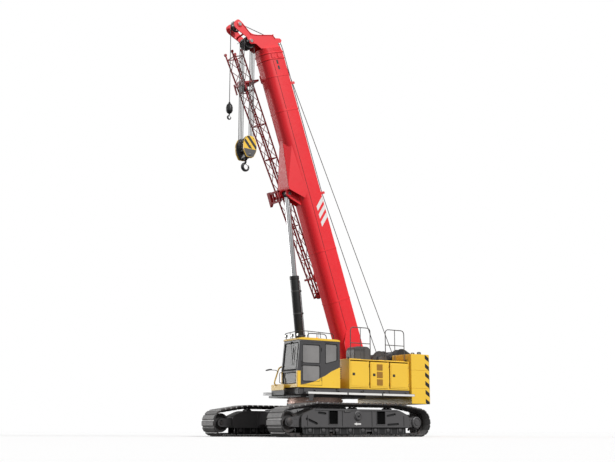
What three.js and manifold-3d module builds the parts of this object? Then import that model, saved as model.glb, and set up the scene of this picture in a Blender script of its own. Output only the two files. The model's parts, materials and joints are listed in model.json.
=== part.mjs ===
// Telescopic-boom crawler crane.
// Millimetres. The origin is on the ground under the middle of the overall length; +X points to the front,
// +Y to the left and +Z up. The construction below counts from the slewing axis, SLEW_AXIS_X ahead of the origin.
import * as THREE from "three";
import { mergeVertices } from "three/addons/utils/BufferGeometryUtils.js";
import Module from "manifold-3d";

const wasm = await Module();
wasm.setup();

// ---------------------------------------------------------------- driving dimensions

// Clearances
const SEAT_GAP = 0.5; // between pieces that rest on each other
const MOVING_GAP = 6; // between a moving piece and its neighbour
const PIN_GAP = 2; // round a pin in its bore

const SLEW_AXIS_X = 155;

// Crawler tracks
const TRACK_GAUGE = 4288;
const WHEELBASE = 5310;
const SHOE_WIDTH = 866;
const TRACK_END_RADIUS = 480;
const TRACK_TOP = 1105;
const TOP_RUN_LENGTH = 3440;
const TOP_RUN_BEND = 320;
const SHOE_THICKNESS = 55;
const SHOE_COUNT = 48;
const SHOE_SPACE = 26;
const SHOE_NOTCH = 30;
const CHAIN_WIDTH = 240;
const CHAIN_THICKNESS = 80;

// Track frames
const FRAME_WIDTH = 600;
const FRAME_BOTTOM = 300;
const FRAME_TOP = 905;
const FORK_THICKNESS = 60;
const WHEEL_WIDTH = 200;
const WHEEL_SIDE_GAP = 30;
const WHEEL_AXLE_RADIUS = 70;
const DRIVE_COVER_RADIUS = 200;
const DRIVE_COVER_DEPTH = 60;
const LOWER_ROLLER_RADIUS = 105;
const LOWER_ROLLER_COUNT = 8;
const LOWER_ROLLER_PITCH = 540;
const UPPER_ROLLER_RADIUS = 60;
const UPPER_ROLLER_PITCH = 1500;
const AXLE_ARM_X = 1000;
const AXLE_ARM_WIDTH = 360;
const AXLE_ARM_HEIGHT = 430;
const AXLE_ARM_CENTRE_Z = 630;
const AXLE_ARM_INNER_END = 850;
const WINDOW_DEPTH = 70;

// Carbody and slewing ring
const CARBODY_LENGTH = 2640;
const CARBODY_WIDTH = 2400;
const CARBODY_BOTTOM = 350;
const CARBODY_TOP = 930;
const RING_RADIUS = 960;
const RING_BORE_RADIUS = 640;
const RING_BOTTOM = 1130;
const RING_TOP = 1326;

// Slewing platform
const DECK_FRONT = 1700;
const DECK_REAR = -3120;
const DECK_HALF_WIDTH = 1480;
const DECK_CORNER = [840, 1280]; // length and width cut from the deck's right front corner
const DECK_UNDERSIDE = 1400;
const DECK_TOP = 1620;
const PAN_HALF_WIDTH = 1000;
const PAN_FRONT = 1300;
const PAN_REAR = -1500;
const CHEEK_THICKNESS = 50;
const CHEEK_GAP = 36; // between the boom's side and a cheek plate
const CATWALK_WIDTH = 300;
const CATWALK_THICKNESS = 50;
const CATWALK_TOP = 1450;
const LEFT_CATWALK_FRONT = 1550;
const RIGHT_CATWALK_FRONT = 550;

// Cab
const CAB_FRONT = 1807;
const CAB_REAR = 38;
const CAB_SIDE_GAP = 101; // between the left cheek plate and the cab
const CAB_OUTER = 1540;
const CAB_HEIGHT = 1580;
const CAB_WALL = 50;
const CAB_RAKE = 110; // backward lean of the windscreen's top
const ROOF_THICKNESS = 90;
const ROOF_OVERHANG = 30;
const GLASS_THICKNESS = 8;
const DOOR_REAR_X = 800;
const DOOR_LENGTH = 880;
const DOOR_FOOT = 70; // of the door over the cab's underside
const DOOR_HEIGHT = 1440;
const DOOR_RAIL = 75;
const DOOR_MID_RAIL = 700; // centre of the door's middle rail, over its foot

// Machinery housings
const HOUSING_FRONT = -396;
const HOUSING_REAR = -3116;
const HOUSING_SIDE_GAP = 49; // between a cheek plate and a housing, and the counterweight's well
const HOUSING_OUTER = 1500;
const HOUSING_HEIGHT = 1030;
const HOUSING_WALL = 40;
const HOUSING_DOOR_THICKNESS = 36;
const HOUSING_DOOR_RAIL = 45;
const LEFT_DOORS = 3;
const RIGHT_DOORS = 2;
const ENGINE_LENGTH = 1500;
const ENGINE_WIDTH = 640;
const ENGINE_HEIGHT = 760;
const AIR_BOX_LENGTH = 750;
const AIR_BOX_WIDTH = 480;
const AIR_BOX_HEIGHT = 500;
const RAIL_TUBE = 38;
const RAIL_HEIGHT = 1150;
const TANK_LENGTH = 620;
const TANK_HEIGHT = 520;

// Counterweight
const COUNTERWEIGHT_FRONT = -3150;
const COUNTERWEIGHT_REAR = -4129;
const COUNTERWEIGHT_HALF_WIDTH = 1588;
const COUNTERWEIGHT_BOTTOM = 1152;
const COUNTERWEIGHT_SLABS = [550, 650, 588];
const COUNTERWEIGHT_CHAMFER = 120;
const WELL_LENGTH = 800; // of the recess for the auxiliary winch

// Winches
const MAIN_WINCH = { x: -2650, z: 2750, barrel: 230, flange: 345 };
const AUX_WINCH = { x: -3500, z: 2860, barrel: 215, flange: 320 };
const WINCH_FLANGE_THICKNESS = 35;
const WINCH_SHAFT_RADIUS = 60;

// Boom
const BOOM_FOOT_X = -1640;
const BOOM_FOOT_Z = 2550;
const BOOM_ANGLE = 71.3; // degrees over the horizon
const BOOM_WIDTH = 770;
const BOOM_OVER_PIN = 480;
const BOOM_UNDER_PIN = 410;
const BOOM_LOWER_RADIUS = 300;
const BOOM_UPPER_RADIUS = 50;
const BOOM_WALL = 15;
const BOOM_STEP = 36; // from one section's outside to the next one's
const BOOM_REAR = -260;
const BOOM_BASE_END = 11810;
const SECTION_REAR = 500;
const SECTION_REAR_STEP = 60;
const COLLAR_LENGTH = 44;
const COLLAR_STEP = 10;
const FOOT_PIN_RADIUS = 80;
const SECTIONS = 5;

// Boom head, in the boom's own frame: x along the boom, z square to it, from the foot pin
const HEAD_PLATE_SPACING = 520;
const HEAD_PLATE_THICKNESS = 30;
const HEAD_SHEAVE_AHEAD = 523; // of the base section's end
const AUX_SHEAVE_AHEAD = 1175;
const HEAD_SHEAVE = { x: BOOM_BASE_END + HEAD_SHEAVE_AHEAD, z: -724, radius: 225, count: 4, pitch: 96, width: 46 };
const AUX_SHEAVE = { x: BOOM_BASE_END + AUX_SHEAVE_AHEAD, z: -1030, radius: 200, width: 60 };
const SHEAVE_GROOVE = 12;
const SHEAVE_SHAFT_RADIUS = 50;

// Lift cylinder
const LIFT_BASE_X = 470;
const LIFT_BASE_Z = 1800;
const LIFT_EYE = { x: 6650, z: -790 }; // in the boom's own frame
const BARREL_RADIUS = 160;
const BARREL_LENGTH = 3850;
const ROD_RADIUS = 102;
const ROD_INNER_END = 2650;
const BASE_EYE_RADIUS = 150;
const BASE_PIN_RADIUS = 70;
const ROD_EYE_RADIUS = 115;
const ROD_EYE_WIDTH = 220;
const BRACKET_THICKNESS = 45;

// Stowed jib, in the boom's own frame
const JIB_ROOT_AHEAD = 470; // of the base section's end
const JIB_ROOT_ASIDE = 540; // from the boom's right side to the jib's middle
const JIB_TIP_ASIDE = 515;
const JIB_ROOT = {
  x: BOOM_BASE_END + JIB_ROOT_AHEAD,
  y: -BOOM_WIDTH / 2 - JIB_ROOT_ASIDE,
  z: -770,
  width: 480,
  height: 430,
};
const JIB_TIP = { x: 2660, y: -BOOM_WIDTH / 2 - JIB_TIP_ASIDE, z: 40, width: 200, height: 260 };
const JIB_TUBE = 60;
const JIB_BAYS = 7;

// Hoist ropes and hooks
const ROPE = 22;
const MAIN_BLOCK_TOP = 10410;
const MAIN_BLOCK_HEIGHT = 780;
const MAIN_BLOCK_WIDTH = 600;
const MAIN_HOOK_BOTTOM = 9160;
const MAIN_HOOK_THICKNESS = 90;
const AUX_WEIGHT_TOP = 11620;
const AUX_WEIGHT_HEIGHT = 430;
const AUX_WEIGHT_RADIUS = 120;
const AUX_HOOK_BOTTOM = 10950;
const AUX_HOOK_THICKNESS = 50;

// ---------------------------------------------------------------- materials

function material(color, roughness, metalness) {
  return new THREE.MeshStandardMaterial({ color, roughness, metalness });
}
const yellowPaint = material(0xf7c12e, 0.4, 0.1);
const redPaint = material(0xd42a20, 0.4, 0.1);
const greyPaint = material(0x5f5f61, 0.55, 0.1);
const darkPaint = material(0x26272a, 0.6, 0.1);
const trackSteel = material(0x34353a, 0.65, 0.6);
const ringSteel = material(0xb06a58, 0.6, 0.4);
const chrome = material(0xd8dadd, 0.12, 1);
const ropeSteel = material(0x9a9a98, 0.5, 0.7);
const seatFabric = material(0x2c2d31, 0.9, 0);
const tintedGlass = new THREE.MeshStandardMaterial({
  color: 0x9aa6ad,
  roughness: 0.05,
  metalness: 0,
  transparent: true,
  opacity: 0.4,
});

// ---------------------------------------------------------------- solids

// A closed geometry as a solid that can be joined and cut.
function solid(geometry) {
  const bare = geometry.index ? geometry.toNonIndexed() : geometry.clone();
  bare.deleteAttribute("normal");
  bare.deleteAttribute("uv");
  const merged = mergeVertices(bare, 1e-3);
  return new wasm.Manifold(
    new wasm.Mesh({
      numProp: 3,
      vertProperties: new Float32Array(merged.attributes.position.array),
      triVerts: new Uint32Array(merged.index.array),
    }),
  );
}

function join(pieces) {
  return pieces.reduce((whole, piece) => whole.add(piece));
}

function cut(whole, tools) {
  return tools.reduce((rest, tool) => rest.subtract(tool), whole);
}

// A block between two corners.
function block(x0, x1, y0, y1, z0, z1) {
  const geometry = new THREE.BoxGeometry(Math.abs(x1 - x0), Math.abs(y1 - y0), Math.abs(z1 - z0));
  return solid(geometry.translate((x0 + x1) / 2, (y0 + y1) / 2, (z0 + z1) / 2));
}

// An outline of [x, z] points, with an optional hole, extruded from y0 to y1.
function sidePrism(outline, y0, y1, hole) {
  const geometry = extruded(outline, Math.abs(y1 - y0), hole);
  geometry.rotateX(Math.PI / 2);
  return solid(geometry.translate(0, Math.max(y0, y1), 0));
}

// An outline of [y, z] points, with an optional hole, extruded from x0 to x1.
function crossPrism(outline, x0, x1, hole) {
  const geometry = extruded(outline, x1 - x0, hole);
  const turn = new THREE.Matrix4().set(0, 0, 1, 0, 1, 0, 0, 0, 0, 1, 0, 0, 0, 0, 0, 1);
  return solid(geometry.applyMatrix4(turn).translate(x0, 0, 0));
}

// An outline of [x, y] points extruded from z0 to z1.
function deckPrism(outline, z0, z1) {
  return solid(extruded(outline, z1 - z0).translate(0, 0, z0));
}

function extruded(outline, depth, hole) {
  const shape = new THREE.Shape(outline.map(([a, b]) => new THREE.Vector2(a, b)));
  if (hole) shape.holes.push(new THREE.Path(hole.map(([a, b]) => new THREE.Vector2(a, b))));
  return new THREE.ExtrudeGeometry(shape, { depth, bevelEnabled: false });
}

// A round bar along Y through [x, z].
function crossBar(radius, x, z, y0, y1, segments = 16) {
  const geometry = new THREE.CylinderGeometry(radius, radius, Math.abs(y1 - y0), segments);
  return solid(geometry.translate(x, (y0 + y1) / 2, z));
}

// A round bar along X from x0 to x1, centred on y = z = 0.
function lengthBar(radius, x0, x1, segments = 16) {
  const geometry = new THREE.CylinderGeometry(radius, radius, x1 - x0, segments);
  return solid(geometry.rotateZ(-Math.PI / 2).translate((x0 + x1) / 2, 0, 0));
}

// A turned piece on an axis along Y through [x, z], from a profile of [radius, y] points in rising y.
function turned(profile, x, z, segments = 16) {
  const points = profile.map(([radius, y]) => new THREE.Vector2(radius, y));
  return solid(new THREE.LatheGeometry(points, segments).translate(x, 0, z));
}

// A square bar from one point to another.
function strut(from, to, thickness) {
  const a = new THREE.Vector3(...from);
  const b = new THREE.Vector3(...to);
  const along = b.clone().sub(a);
  const geometry = new THREE.BoxGeometry(along.length(), thickness, thickness);
  const turn = new THREE.Quaternion().setFromUnitVectors(new THREE.Vector3(1, 0, 0), along.normalize());
  geometry.applyQuaternion(turn).translate(...a.add(b).multiplyScalar(0.5).toArray());
  return solid(geometry);
}

// Points of a circular arc, angles in degrees.
function arc(cx, cy, radius, from, to, steps) {
  return Array.from({ length: steps + 1 }, (_, i) => {
    const angle = THREE.MathUtils.degToRad(from + ((to - from) * i) / steps);
    return [cx + radius * Math.cos(angle), cy + radius * Math.sin(angle)];
  });
}

// The same solid on the other side of the crane.
function mirrored(shape) {
  return shape.mirror([0, 1, 0]);
}

// ---------------------------------------------------------------- scene graph

const crane = new THREE.Group();
crane.position.x = SLEW_AXIS_X;
const boom = new THREE.Group();
boom.position.set(BOOM_FOOT_X, 0, BOOM_FOOT_Z);
boom.rotation.y = -THREE.MathUtils.degToRad(BOOM_ANGLE);
crane.add(boom);

function place(name, shape, finish, parent = crane) {
  const data = shape.getMesh();
  const geometry = new THREE.BufferGeometry();
  const points = new Float32Array(data.numVert * 3);
  for (let i = 0; i < data.numVert; i += 1) {
    points.set(data.vertProperties.subarray(i * data.numProp, i * data.numProp + 3), i * 3);
  }
  geometry.setAttribute("position", new THREE.BufferAttribute(points, 3));
  geometry.setIndex(new THREE.BufferAttribute(new Uint32Array(data.triVerts), 1));
  const mesh = new THREE.Mesh(geometry, finish);
  mesh.name = name;
  parent.add(mesh);
}

// A point of the boom's own frame, as crane [x, z].
function fromBoom(x, z) {
  const angle = THREE.MathUtils.degToRad(BOOM_ANGLE);
  return [
    BOOM_FOOT_X + x * Math.cos(angle) - z * Math.sin(angle),
    BOOM_FOOT_Z + x * Math.sin(angle) + z * Math.cos(angle),
  ];
}

// ---------------------------------------------------------------- crawler tracks

// The loop's outside as pieces of line and arc, each with its length, from the front of the ground run.
function trackPath() {
  const end = { x: WHEELBASE / 2, z: TRACK_END_RADIUS, r: TRACK_END_RADIUS };
  const bend = { x: TOP_RUN_LENGTH / 2, z: TRACK_TOP - TOP_RUN_BEND, r: TOP_RUN_BEND };
  const reach = Math.hypot(bend.x - end.x, bend.z - end.z);
  const lean = Math.atan2(bend.z - end.z, bend.x - end.x) - Math.acos((end.r - bend.r) / reach);
  const quarter = Math.PI / 2;
  const at = (c, angle) => [c.x + c.r * Math.cos(angle), c.z + c.r * Math.sin(angle)];
  const flip = (c) => ({ ...c, x: -c.x });
  return [
    { arc: end, from: -quarter, to: lean },
    { line: [at(end, lean), at(bend, lean)] },
    { arc: bend, from: lean, to: quarter },
    { line: [at(bend, quarter), at(flip(bend), quarter)] },
    { arc: flip(bend), from: quarter, to: Math.PI - lean },
    { line: [at(flip(bend), Math.PI - lean), at(flip(end), Math.PI - lean)] },
    { arc: flip(end), from: Math.PI - lean, to: 3 * quarter },
    { line: [at(flip(end), -quarter), at(end, -quarter)] },
  ].map((piece) => ({ ...piece, length: pieceLength(piece) }));
}

function pieceLength(piece) {
  if (piece.arc) return piece.arc.r * (piece.to - piece.from);
  const [[x0, z0], [x1, z1]] = piece.line;
  return Math.hypot(x1 - x0, z1 - z0);
}

// The [x, z] point at a distance along one piece of the path, moved inwards.
function piecePoint(piece, distance, inwards) {
  const share = distance / piece.length;
  if (piece.arc) {
    const angle = piece.from + (piece.to - piece.from) * share;
    const radius = piece.arc.r - inwards;
    return [piece.arc.x + radius * Math.cos(angle), piece.arc.z + radius * Math.sin(angle)];
  }
  const [[x0, z0], [x1, z1]] = piece.line;
  const out = [(z1 - z0) / piece.length, -(x1 - x0) / piece.length];
  return [x0 + (x1 - x0) * share - out[0] * inwards, z0 + (z1 - z0) * share - out[1] * inwards];
}

function pathPoint(path, distance, inwards) {
  let rest = distance;
  for (const piece of path) {
    if (rest <= piece.length) return piecePoint(piece, rest, inwards);
    rest -= piece.length;
  }
  return piecePoint(path[0], rest, inwards);
}

// The whole loop moved inwards, with its arcs in steps.
function loopOutline(path, inwards, steps) {
  return path.flatMap((piece) => {
    const stops = piece.arc ? steps : 1;
    return Array.from({ length: stops }, (_, i) => piecePoint(piece, (piece.length * i) / stops, inwards));
  });
}

// The outside, where each shoe is flat and a notch parts it from the next.
function shoeOutline(path) {
  const length = path.reduce((sum, piece) => sum + piece.length, 0);
  const pitch = length / SHOE_COUNT;
  const half = SHOE_SPACE / 2;
  return Array.from({ length: SHOE_COUNT }, (_, i) => [
    pathPoint(path, i * pitch + half, SHOE_NOTCH),
    pathPoint(path, i * pitch + half, 0),
    pathPoint(path, (i + 1) * pitch - half, 0),
    pathPoint(path, (i + 1) * pitch - half, SHOE_NOTCH),
  ]).flat();
}

const CHAIN_INSIDE = SHOE_THICKNESS + CHAIN_THICKNESS;
const ARC_STEPS = 6;

function trackLoop(centreY) {
  const path = trackPath();
  const shoes = sidePrism(
    shoeOutline(path),
    centreY - SHOE_WIDTH / 2,
    centreY + SHOE_WIDTH / 2,
    loopOutline(path, SHOE_THICKNESS, ARC_STEPS),
  );
  const chain = sidePrism(
    loopOutline(path, SHOE_NOTCH + 5, ARC_STEPS),
    centreY - CHAIN_WIDTH / 2,
    centreY + CHAIN_WIDTH / 2,
    loopOutline(path, CHAIN_INSIDE, ARC_STEPS),
  );
  return join([shoes, chain]);
}

// ---------------------------------------------------------------- track frames and wheels

const WHEEL_RADIUS = TRACK_END_RADIUS - CHAIN_INSIDE - 2 * MOVING_GAP;
const FORK_INNER = WHEEL_WIDTH / 2 + WHEEL_SIDE_GAP;
const FORK_OUTER = FORK_INNER + FORK_THICKNESS;
const FRAME_HALF_LENGTH = WHEELBASE / 2 - WHEEL_RADIUS - 60;

// A frame with its rollers and the two arms that slide in the carbody, for the left side.
function trackFrame() {
  const y = TRACK_GAUGE / 2;
  const half = FRAME_WIDTH / 2;
  const beam = sidePrism(
    [
      [-FRAME_HALF_LENGTH, FRAME_BOTTOM],
      [FRAME_HALF_LENGTH, FRAME_BOTTOM],
      [FRAME_HALF_LENGTH, FRAME_TOP - 200],
      [FRAME_HALF_LENGTH - 500, FRAME_TOP],
      [-FRAME_HALF_LENGTH + 500, FRAME_TOP],
      [-FRAME_HALF_LENGTH, FRAME_TOP - 200],
    ],
    y - half,
    y + half,
  );
  const forks = [-1, 1].flatMap((end) =>
    [-FORK_OUTER, FORK_INNER].map((side) =>
      block(
        end * (FRAME_HALF_LENGTH - 50),
        end * (WHEELBASE / 2 + 130),
        y + side,
        y + side + FORK_THICKNESS,
        TRACK_END_RADIUS - 150,
        TRACK_END_RADIUS + 150,
      ),
    ),
  );
  const bores = [-1, 1].map((end) =>
    crossBar(
      WHEEL_AXLE_RADIUS + PIN_GAP,
      (end * WHEELBASE) / 2,
      TRACK_END_RADIUS,
      y - FRAME_WIDTH,
      y + FRAME_WIDTH,
    ),
  );
  const rollerY = WHEEL_WIDTH / 2;
  const lowerRollers = Array.from({ length: LOWER_ROLLER_COUNT }, (_, i) =>
    crossBar(
      LOWER_ROLLER_RADIUS,
      (i - (LOWER_ROLLER_COUNT - 1) / 2) * LOWER_ROLLER_PITCH,
      CHAIN_INSIDE + SEAT_GAP + LOWER_ROLLER_RADIUS,
      y - rollerY,
      y + rollerY,
      12,
    ),
  );
  const upperRollers = [-1, 0, 1].map((i) =>
    crossBar(
      UPPER_ROLLER_RADIUS,
      i * UPPER_ROLLER_PITCH,
      TRACK_TOP - CHAIN_INSIDE - SEAT_GAP - UPPER_ROLLER_RADIUS,
      y - rollerY,
      y + rollerY,
      12,
    ),
  );
  const arms = [-1, 1].map((end) => axleArm(end * AXLE_ARM_X, AXLE_ARM_INNER_END, y, -MOVING_GAP));
  const windows = [-1, 1].map((end) =>
    axleArm(end * AXLE_ARM_X, y + half - WINDOW_DEPTH, y + half + 10, -MOVING_GAP),
  );
  const boss = crossBar(110, 0, AXLE_ARM_CENTRE_Z, y + half - 10, y + half + 40);
  return cut(join([beam, boss, ...forks, ...lowerRollers, ...upperRollers, ...arms]), [...windows, ...bores]);
}

// The space of an axle arm between two distances from the centre, grown all round by a margin.
function axleArm(x, y0, y1, margin) {
  const halfWidth = AXLE_ARM_WIDTH / 2 + margin;
  const halfHeight = AXLE_ARM_HEIGHT / 2 + margin;
  const z = AXLE_ARM_CENTRE_Z;
  return block(x - halfWidth, x + halfWidth, y0, y1, z - halfHeight, z + halfHeight);
}

// A wheel on its axle inside the frame's fork; the drive wheel has its gear cover outside.
function trackWheel(x, isDrive) {
  const y = TRACK_GAUGE / 2;
  const axleEnd = FORK_OUTER + MOVING_GAP;
  const cover = isDrive ? DRIVE_COVER_RADIUS : WHEEL_AXLE_RADIUS + 40;
  const coverDepth = isDrive ? DRIVE_COVER_DEPTH : 25;
  const halfRim = WHEEL_WIDTH / 2;
  const profile = [
    [0, y - axleEnd],
    [WHEEL_AXLE_RADIUS, y - axleEnd],
    [WHEEL_AXLE_RADIUS, y - halfRim],
    [WHEEL_RADIUS, y - halfRim],
    [WHEEL_RADIUS, y + halfRim],
    [WHEEL_AXLE_RADIUS, y + halfRim],
    [WHEEL_AXLE_RADIUS, y + axleEnd],
    [cover, y + axleEnd],
    [cover, y + axleEnd + coverDepth],
    [0, y + axleEnd + coverDepth],
  ];
  return turned(profile, x, TRACK_END_RADIUS);
}

for (const [side, turn] of [["left", (shape) => shape], ["right", mirrored]]) {
  place(`track_frame_${side}`, turn(trackFrame()), greyPaint);
  place(`track_${side}`, turn(trackLoop(TRACK_GAUGE / 2)), trackSteel);
  place(`drive_sprocket_${side}`, turn(trackWheel(-WHEELBASE / 2, true)), greyPaint);
  place(`front_idler_${side}`, turn(trackWheel(WHEELBASE / 2, false)), greyPaint);
}

// ---------------------------------------------------------------- carbody and slewing ring

function carbody() {
  const halfLength = CARBODY_LENGTH / 2;
  const halfWidth = CARBODY_WIDTH / 2;
  const hull = block(-halfLength, halfLength, -halfWidth, halfWidth, CARBODY_BOTTOM, CARBODY_TOP);
  const pedestal = deckPrism(arc(0, 0, RING_RADIUS + 40, 0, 345, 23), CARBODY_TOP - 10, RING_BOTTOM - SEAT_GAP);
  const sockets = [-1, 1].map((end) => axleArm(end * AXLE_ARM_X, -halfWidth - 10, halfWidth + 10, 0));
  return cut(join([hull, pedestal]), sockets);
}

function slewRing() {
  const outside = deckPrism(arc(0, 0, RING_RADIUS, 0, 352.5, 47), RING_BOTTOM, RING_TOP);
  const bore = deckPrism(arc(0, 0, RING_BORE_RADIUS, 0, 345, 23), RING_BOTTOM - 10, RING_TOP + 10);
  return cut(outside, [bore]);
}

place("carbody", carbody(), greyPaint);
place("slew_ring", slewRing(), ringSteel);

// ---------------------------------------------------------------- slewing platform

const PAN_BOTTOM = RING_TOP + MOVING_GAP;
const CHEEK_INNER = BOOM_WIDTH / 2 + CHEEK_GAP;
const CHEEK_OUTER = CHEEK_INNER + CHEEK_THICKNESS;
const CAB_INNER = CHEEK_OUTER + CAB_SIDE_GAP;
const HOUSING_INNER = CHEEK_OUTER + HOUSING_SIDE_GAP;
const WELL_HALF_WIDTH = HOUSING_INNER;

// The cheek plates carry the boom foot, the lift cylinder's base and both winches.
function cheekOutline() {
  const foot = { x: BOOM_FOOT_X, z: BOOM_FOOT_Z };
  return [
    [LIFT_BASE_X + 500, DECK_TOP - 20],
    [LIFT_BASE_X + 200, LIFT_BASE_Z + 160],
    [LIFT_BASE_X - 200, LIFT_BASE_Z + 180],
    [foot.x + 1000, foot.z - 420],
    [foot.x + 200, foot.z + 190],
    [foot.x - 200, foot.z + 190],
    [foot.x - 420, foot.z - 40],
    [MAIN_WINCH.x + 230, foot.z - 40],
    [MAIN_WINCH.x + 120, MAIN_WINCH.z + 130],
    [MAIN_WINCH.x - 120, MAIN_WINCH.z + 130],
    [MAIN_WINCH.x - 220, MAIN_WINCH.z - 200],
    [AUX_WINCH.x + 220, AUX_WINCH.z - 240],
    [AUX_WINCH.x + 110, AUX_WINCH.z + 120],
    [AUX_WINCH.x - 110, AUX_WINCH.z + 120],
    [AUX_WINCH.x - 200, AUX_WINCH.z - 240],
    [AUX_WINCH.x - 200, AUX_WINCH.z - 390],
    [COUNTERWEIGHT_FRONT + 20, AUX_WINCH.z - 490],
    [COUNTERWEIGHT_FRONT + 60, DECK_TOP - 20],
  ];
}

function slewPlatform() {
  const [cornerLength, cornerWidth] = DECK_CORNER;
  const deckPlan = [
    [DECK_REAR, -DECK_HALF_WIDTH],
    [DECK_FRONT - cornerLength, -DECK_HALF_WIDTH],
    [DECK_FRONT, cornerWidth - DECK_HALF_WIDTH],
    [DECK_FRONT, DECK_HALF_WIDTH],
    [DECK_REAR, DECK_HALF_WIDTH],
  ];
  const deck = deckPrism(deckPlan, DECK_UNDERSIDE, DECK_TOP);
  const pan = block(PAN_REAR, PAN_FRONT, -PAN_HALF_WIDTH, PAN_HALF_WIDTH, PAN_BOTTOM, DECK_UNDERSIDE + 10);
  const cheeks = [-CHEEK_OUTER, CHEEK_INNER].map((y) => sidePrism(cheekOutline(), y, y + CHEEK_THICKNESS));
  const bores = [
    [FOOT_PIN_RADIUS, BOOM_FOOT_X, BOOM_FOOT_Z],
    [BASE_PIN_RADIUS, LIFT_BASE_X, LIFT_BASE_Z],
    [WINCH_SHAFT_RADIUS, MAIN_WINCH.x, MAIN_WINCH.z],
    [WINCH_SHAFT_RADIUS, AUX_WINCH.x, AUX_WINCH.z],
  ].map(([radius, x, z]) => crossBar(radius + PIN_GAP, x, z, -CHEEK_OUTER - 10, CHEEK_OUTER + 10));
  return cut(join([deck, pan, ...cheeks]), bores);
}

function catwalk(front) {
  const inner = DECK_HALF_WIDTH + SEAT_GAP;
  const outer = inner + CATWALK_WIDTH;
  const tread = block(DECK_REAR, front, inner, outer, CATWALK_TOP - CATWALK_THICKNESS, CATWALK_TOP);
  const edge = block(DECK_REAR, front, outer - 20, outer, CATWALK_TOP - 10, CATWALK_TOP + 30);
  return join([tread, edge]);
}

place("slew_platform", slewPlatform(), greyPaint);
place("catwalk_left", catwalk(LEFT_CATWALK_FRONT), greyPaint);
place("catwalk_right", mirrored(catwalk(RIGHT_CATWALK_FRONT)), greyPaint);

// ---------------------------------------------------------------- cab

const CAB_BASE = DECK_TOP + SEAT_GAP;
const CAB_TOP = CAB_BASE + CAB_HEIGHT;
const SILL_HEIGHT = 560; // of the windscreen's foot over the cab's underside
const WINDOW_HEAD = 90; // from a window's top to the cab's top

// The cab's side outline, drawn in by a margin: a raked windscreen over an upright nose.
function cabOutline(margin) {
  const sill = CAB_BASE + SILL_HEIGHT;
  return [
    [CAB_REAR + margin, CAB_BASE + margin],
    [CAB_FRONT - margin, CAB_BASE + margin],
    [CAB_FRONT - margin, sill],
    [CAB_FRONT - CAB_RAKE - margin, CAB_TOP - (margin ? -10 : 0)],
    [CAB_REAR + margin, CAB_TOP - (margin ? -10 : 0)],
  ];
}

function cabShell() {
  const outside = sidePrism(cabOutline(0), CAB_INNER, CAB_OUTER);
  const room = sidePrism(cabOutline(CAB_WALL), CAB_INNER + CAB_WALL, CAB_OUTER - CAB_WALL);
  const sill = CAB_BASE + SILL_HEIGHT;
  const head = CAB_TOP - WINDOW_HEAD;
  const side = [CAB_INNER + 80, CAB_OUTER - 80];
  const windscreen = block(CAB_FRONT - 400, CAB_FRONT + 50, side[0], side[1], sill, head);
  const footWindow = block(CAB_FRONT - 60, CAB_FRONT + 50, side[0], side[1], CAB_BASE + 130, sill - 70);
  const rearWindow = block(CAB_REAR - 10, CAB_REAR + 60, side[0], side[1], sill + 380, head);
  const rightWindow = block(CAB_REAR + 150, CAB_FRONT - 250, CAB_INNER - 10, CAB_INNER + 60, sill + 60, head);
  const quarter = quarterOutline(0);
  const quarterWindow = sidePrism(quarter, CAB_OUTER - 60, CAB_OUTER + 10);
  const doorway = block(
    DOOR_REAR_X,
    DOOR_REAR_X + DOOR_LENGTH,
    CAB_OUTER - CAB_WALL - 10,
    CAB_OUTER + 10,
    CAB_BASE + DOOR_FOOT,
    CAB_BASE + DOOR_FOOT + DOOR_HEIGHT,
  );
  return cut(outside, [room, windscreen, footWindow, rearWindow, rightWindow, quarterWindow, doorway]);
}

function quarterOutline(margin) {
  const head = CAB_TOP - WINDOW_HEAD;
  return [
    [CAB_REAR + 120 + margin, CAB_BASE + 940 + margin],
    [DOOR_REAR_X - 150 - margin, CAB_BASE + 810 + margin],
    [DOOR_REAR_X - 150 - margin, head - margin],
    [CAB_REAR + 120 + margin, head - margin],
  ];
}

// A pane in a wall across the cab, from x, and one in a side wall, from y.
function crossPane(x, y0, y1, z0, z1) {
  const g = SEAT_GAP;
  return block(x, x + GLASS_THICKNESS, y0 + g, y1 - g, z0 + g, z1 - g);
}

function sidePane(y, x0, x1, z0, z1) {
  const g = SEAT_GAP;
  return block(x0 + g, x1 - g, y, y + GLASS_THICKNESS, z0 + g, z1 - g);
}

function windscreenGlass() {
  const sill = CAB_BASE + SILL_HEIGHT;
  const slope = CAB_RAKE / (CAB_TOP - sill);
  const head = CAB_TOP - WINDOW_HEAD - SEAT_GAP;
  const foot = sill + SEAT_GAP;
  const front = CAB_FRONT - 20;
  const top = front - slope * (head - sill);
  const outline = [
    [front - GLASS_THICKNESS, foot],
    [front, foot],
    [top, head],
    [top - GLASS_THICKNESS, head],
  ];
  return sidePrism(outline, CAB_INNER + 80 + SEAT_GAP, CAB_OUTER - 80 - SEAT_GAP);
}

function cabRoof() {
  const z = CAB_TOP + SEAT_GAP;
  const front = CAB_FRONT - CAB_RAKE + ROOF_OVERHANG;
  const outline = [
    [CAB_REAR - ROOF_OVERHANG, z],
    [front, z],
    [front - 10, z + ROOF_THICKNESS * 0.5],
    [front - 120, z + ROOF_THICKNESS],
    [CAB_REAR + 60, z + ROOF_THICKNESS * 0.8],
    [CAB_REAR - ROOF_OVERHANG, z + ROOF_THICKNESS * 0.4],
  ];
  return sidePrism(outline, CAB_INNER - ROOF_OVERHANG, CAB_OUTER + 10);
}

const DOOR_BOTTOM = CAB_BASE + DOOR_FOOT + MOVING_GAP;
const DOOR_TOP = CAB_BASE + DOOR_FOOT + DOOR_HEIGHT - MOVING_GAP;
const DOOR_X0 = DOOR_REAR_X + MOVING_GAP;
const DOOR_X1 = DOOR_REAR_X + DOOR_LENGTH - MOVING_GAP;
const DOOR_MID = DOOR_BOTTOM + DOOR_MID_RAIL;

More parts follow.
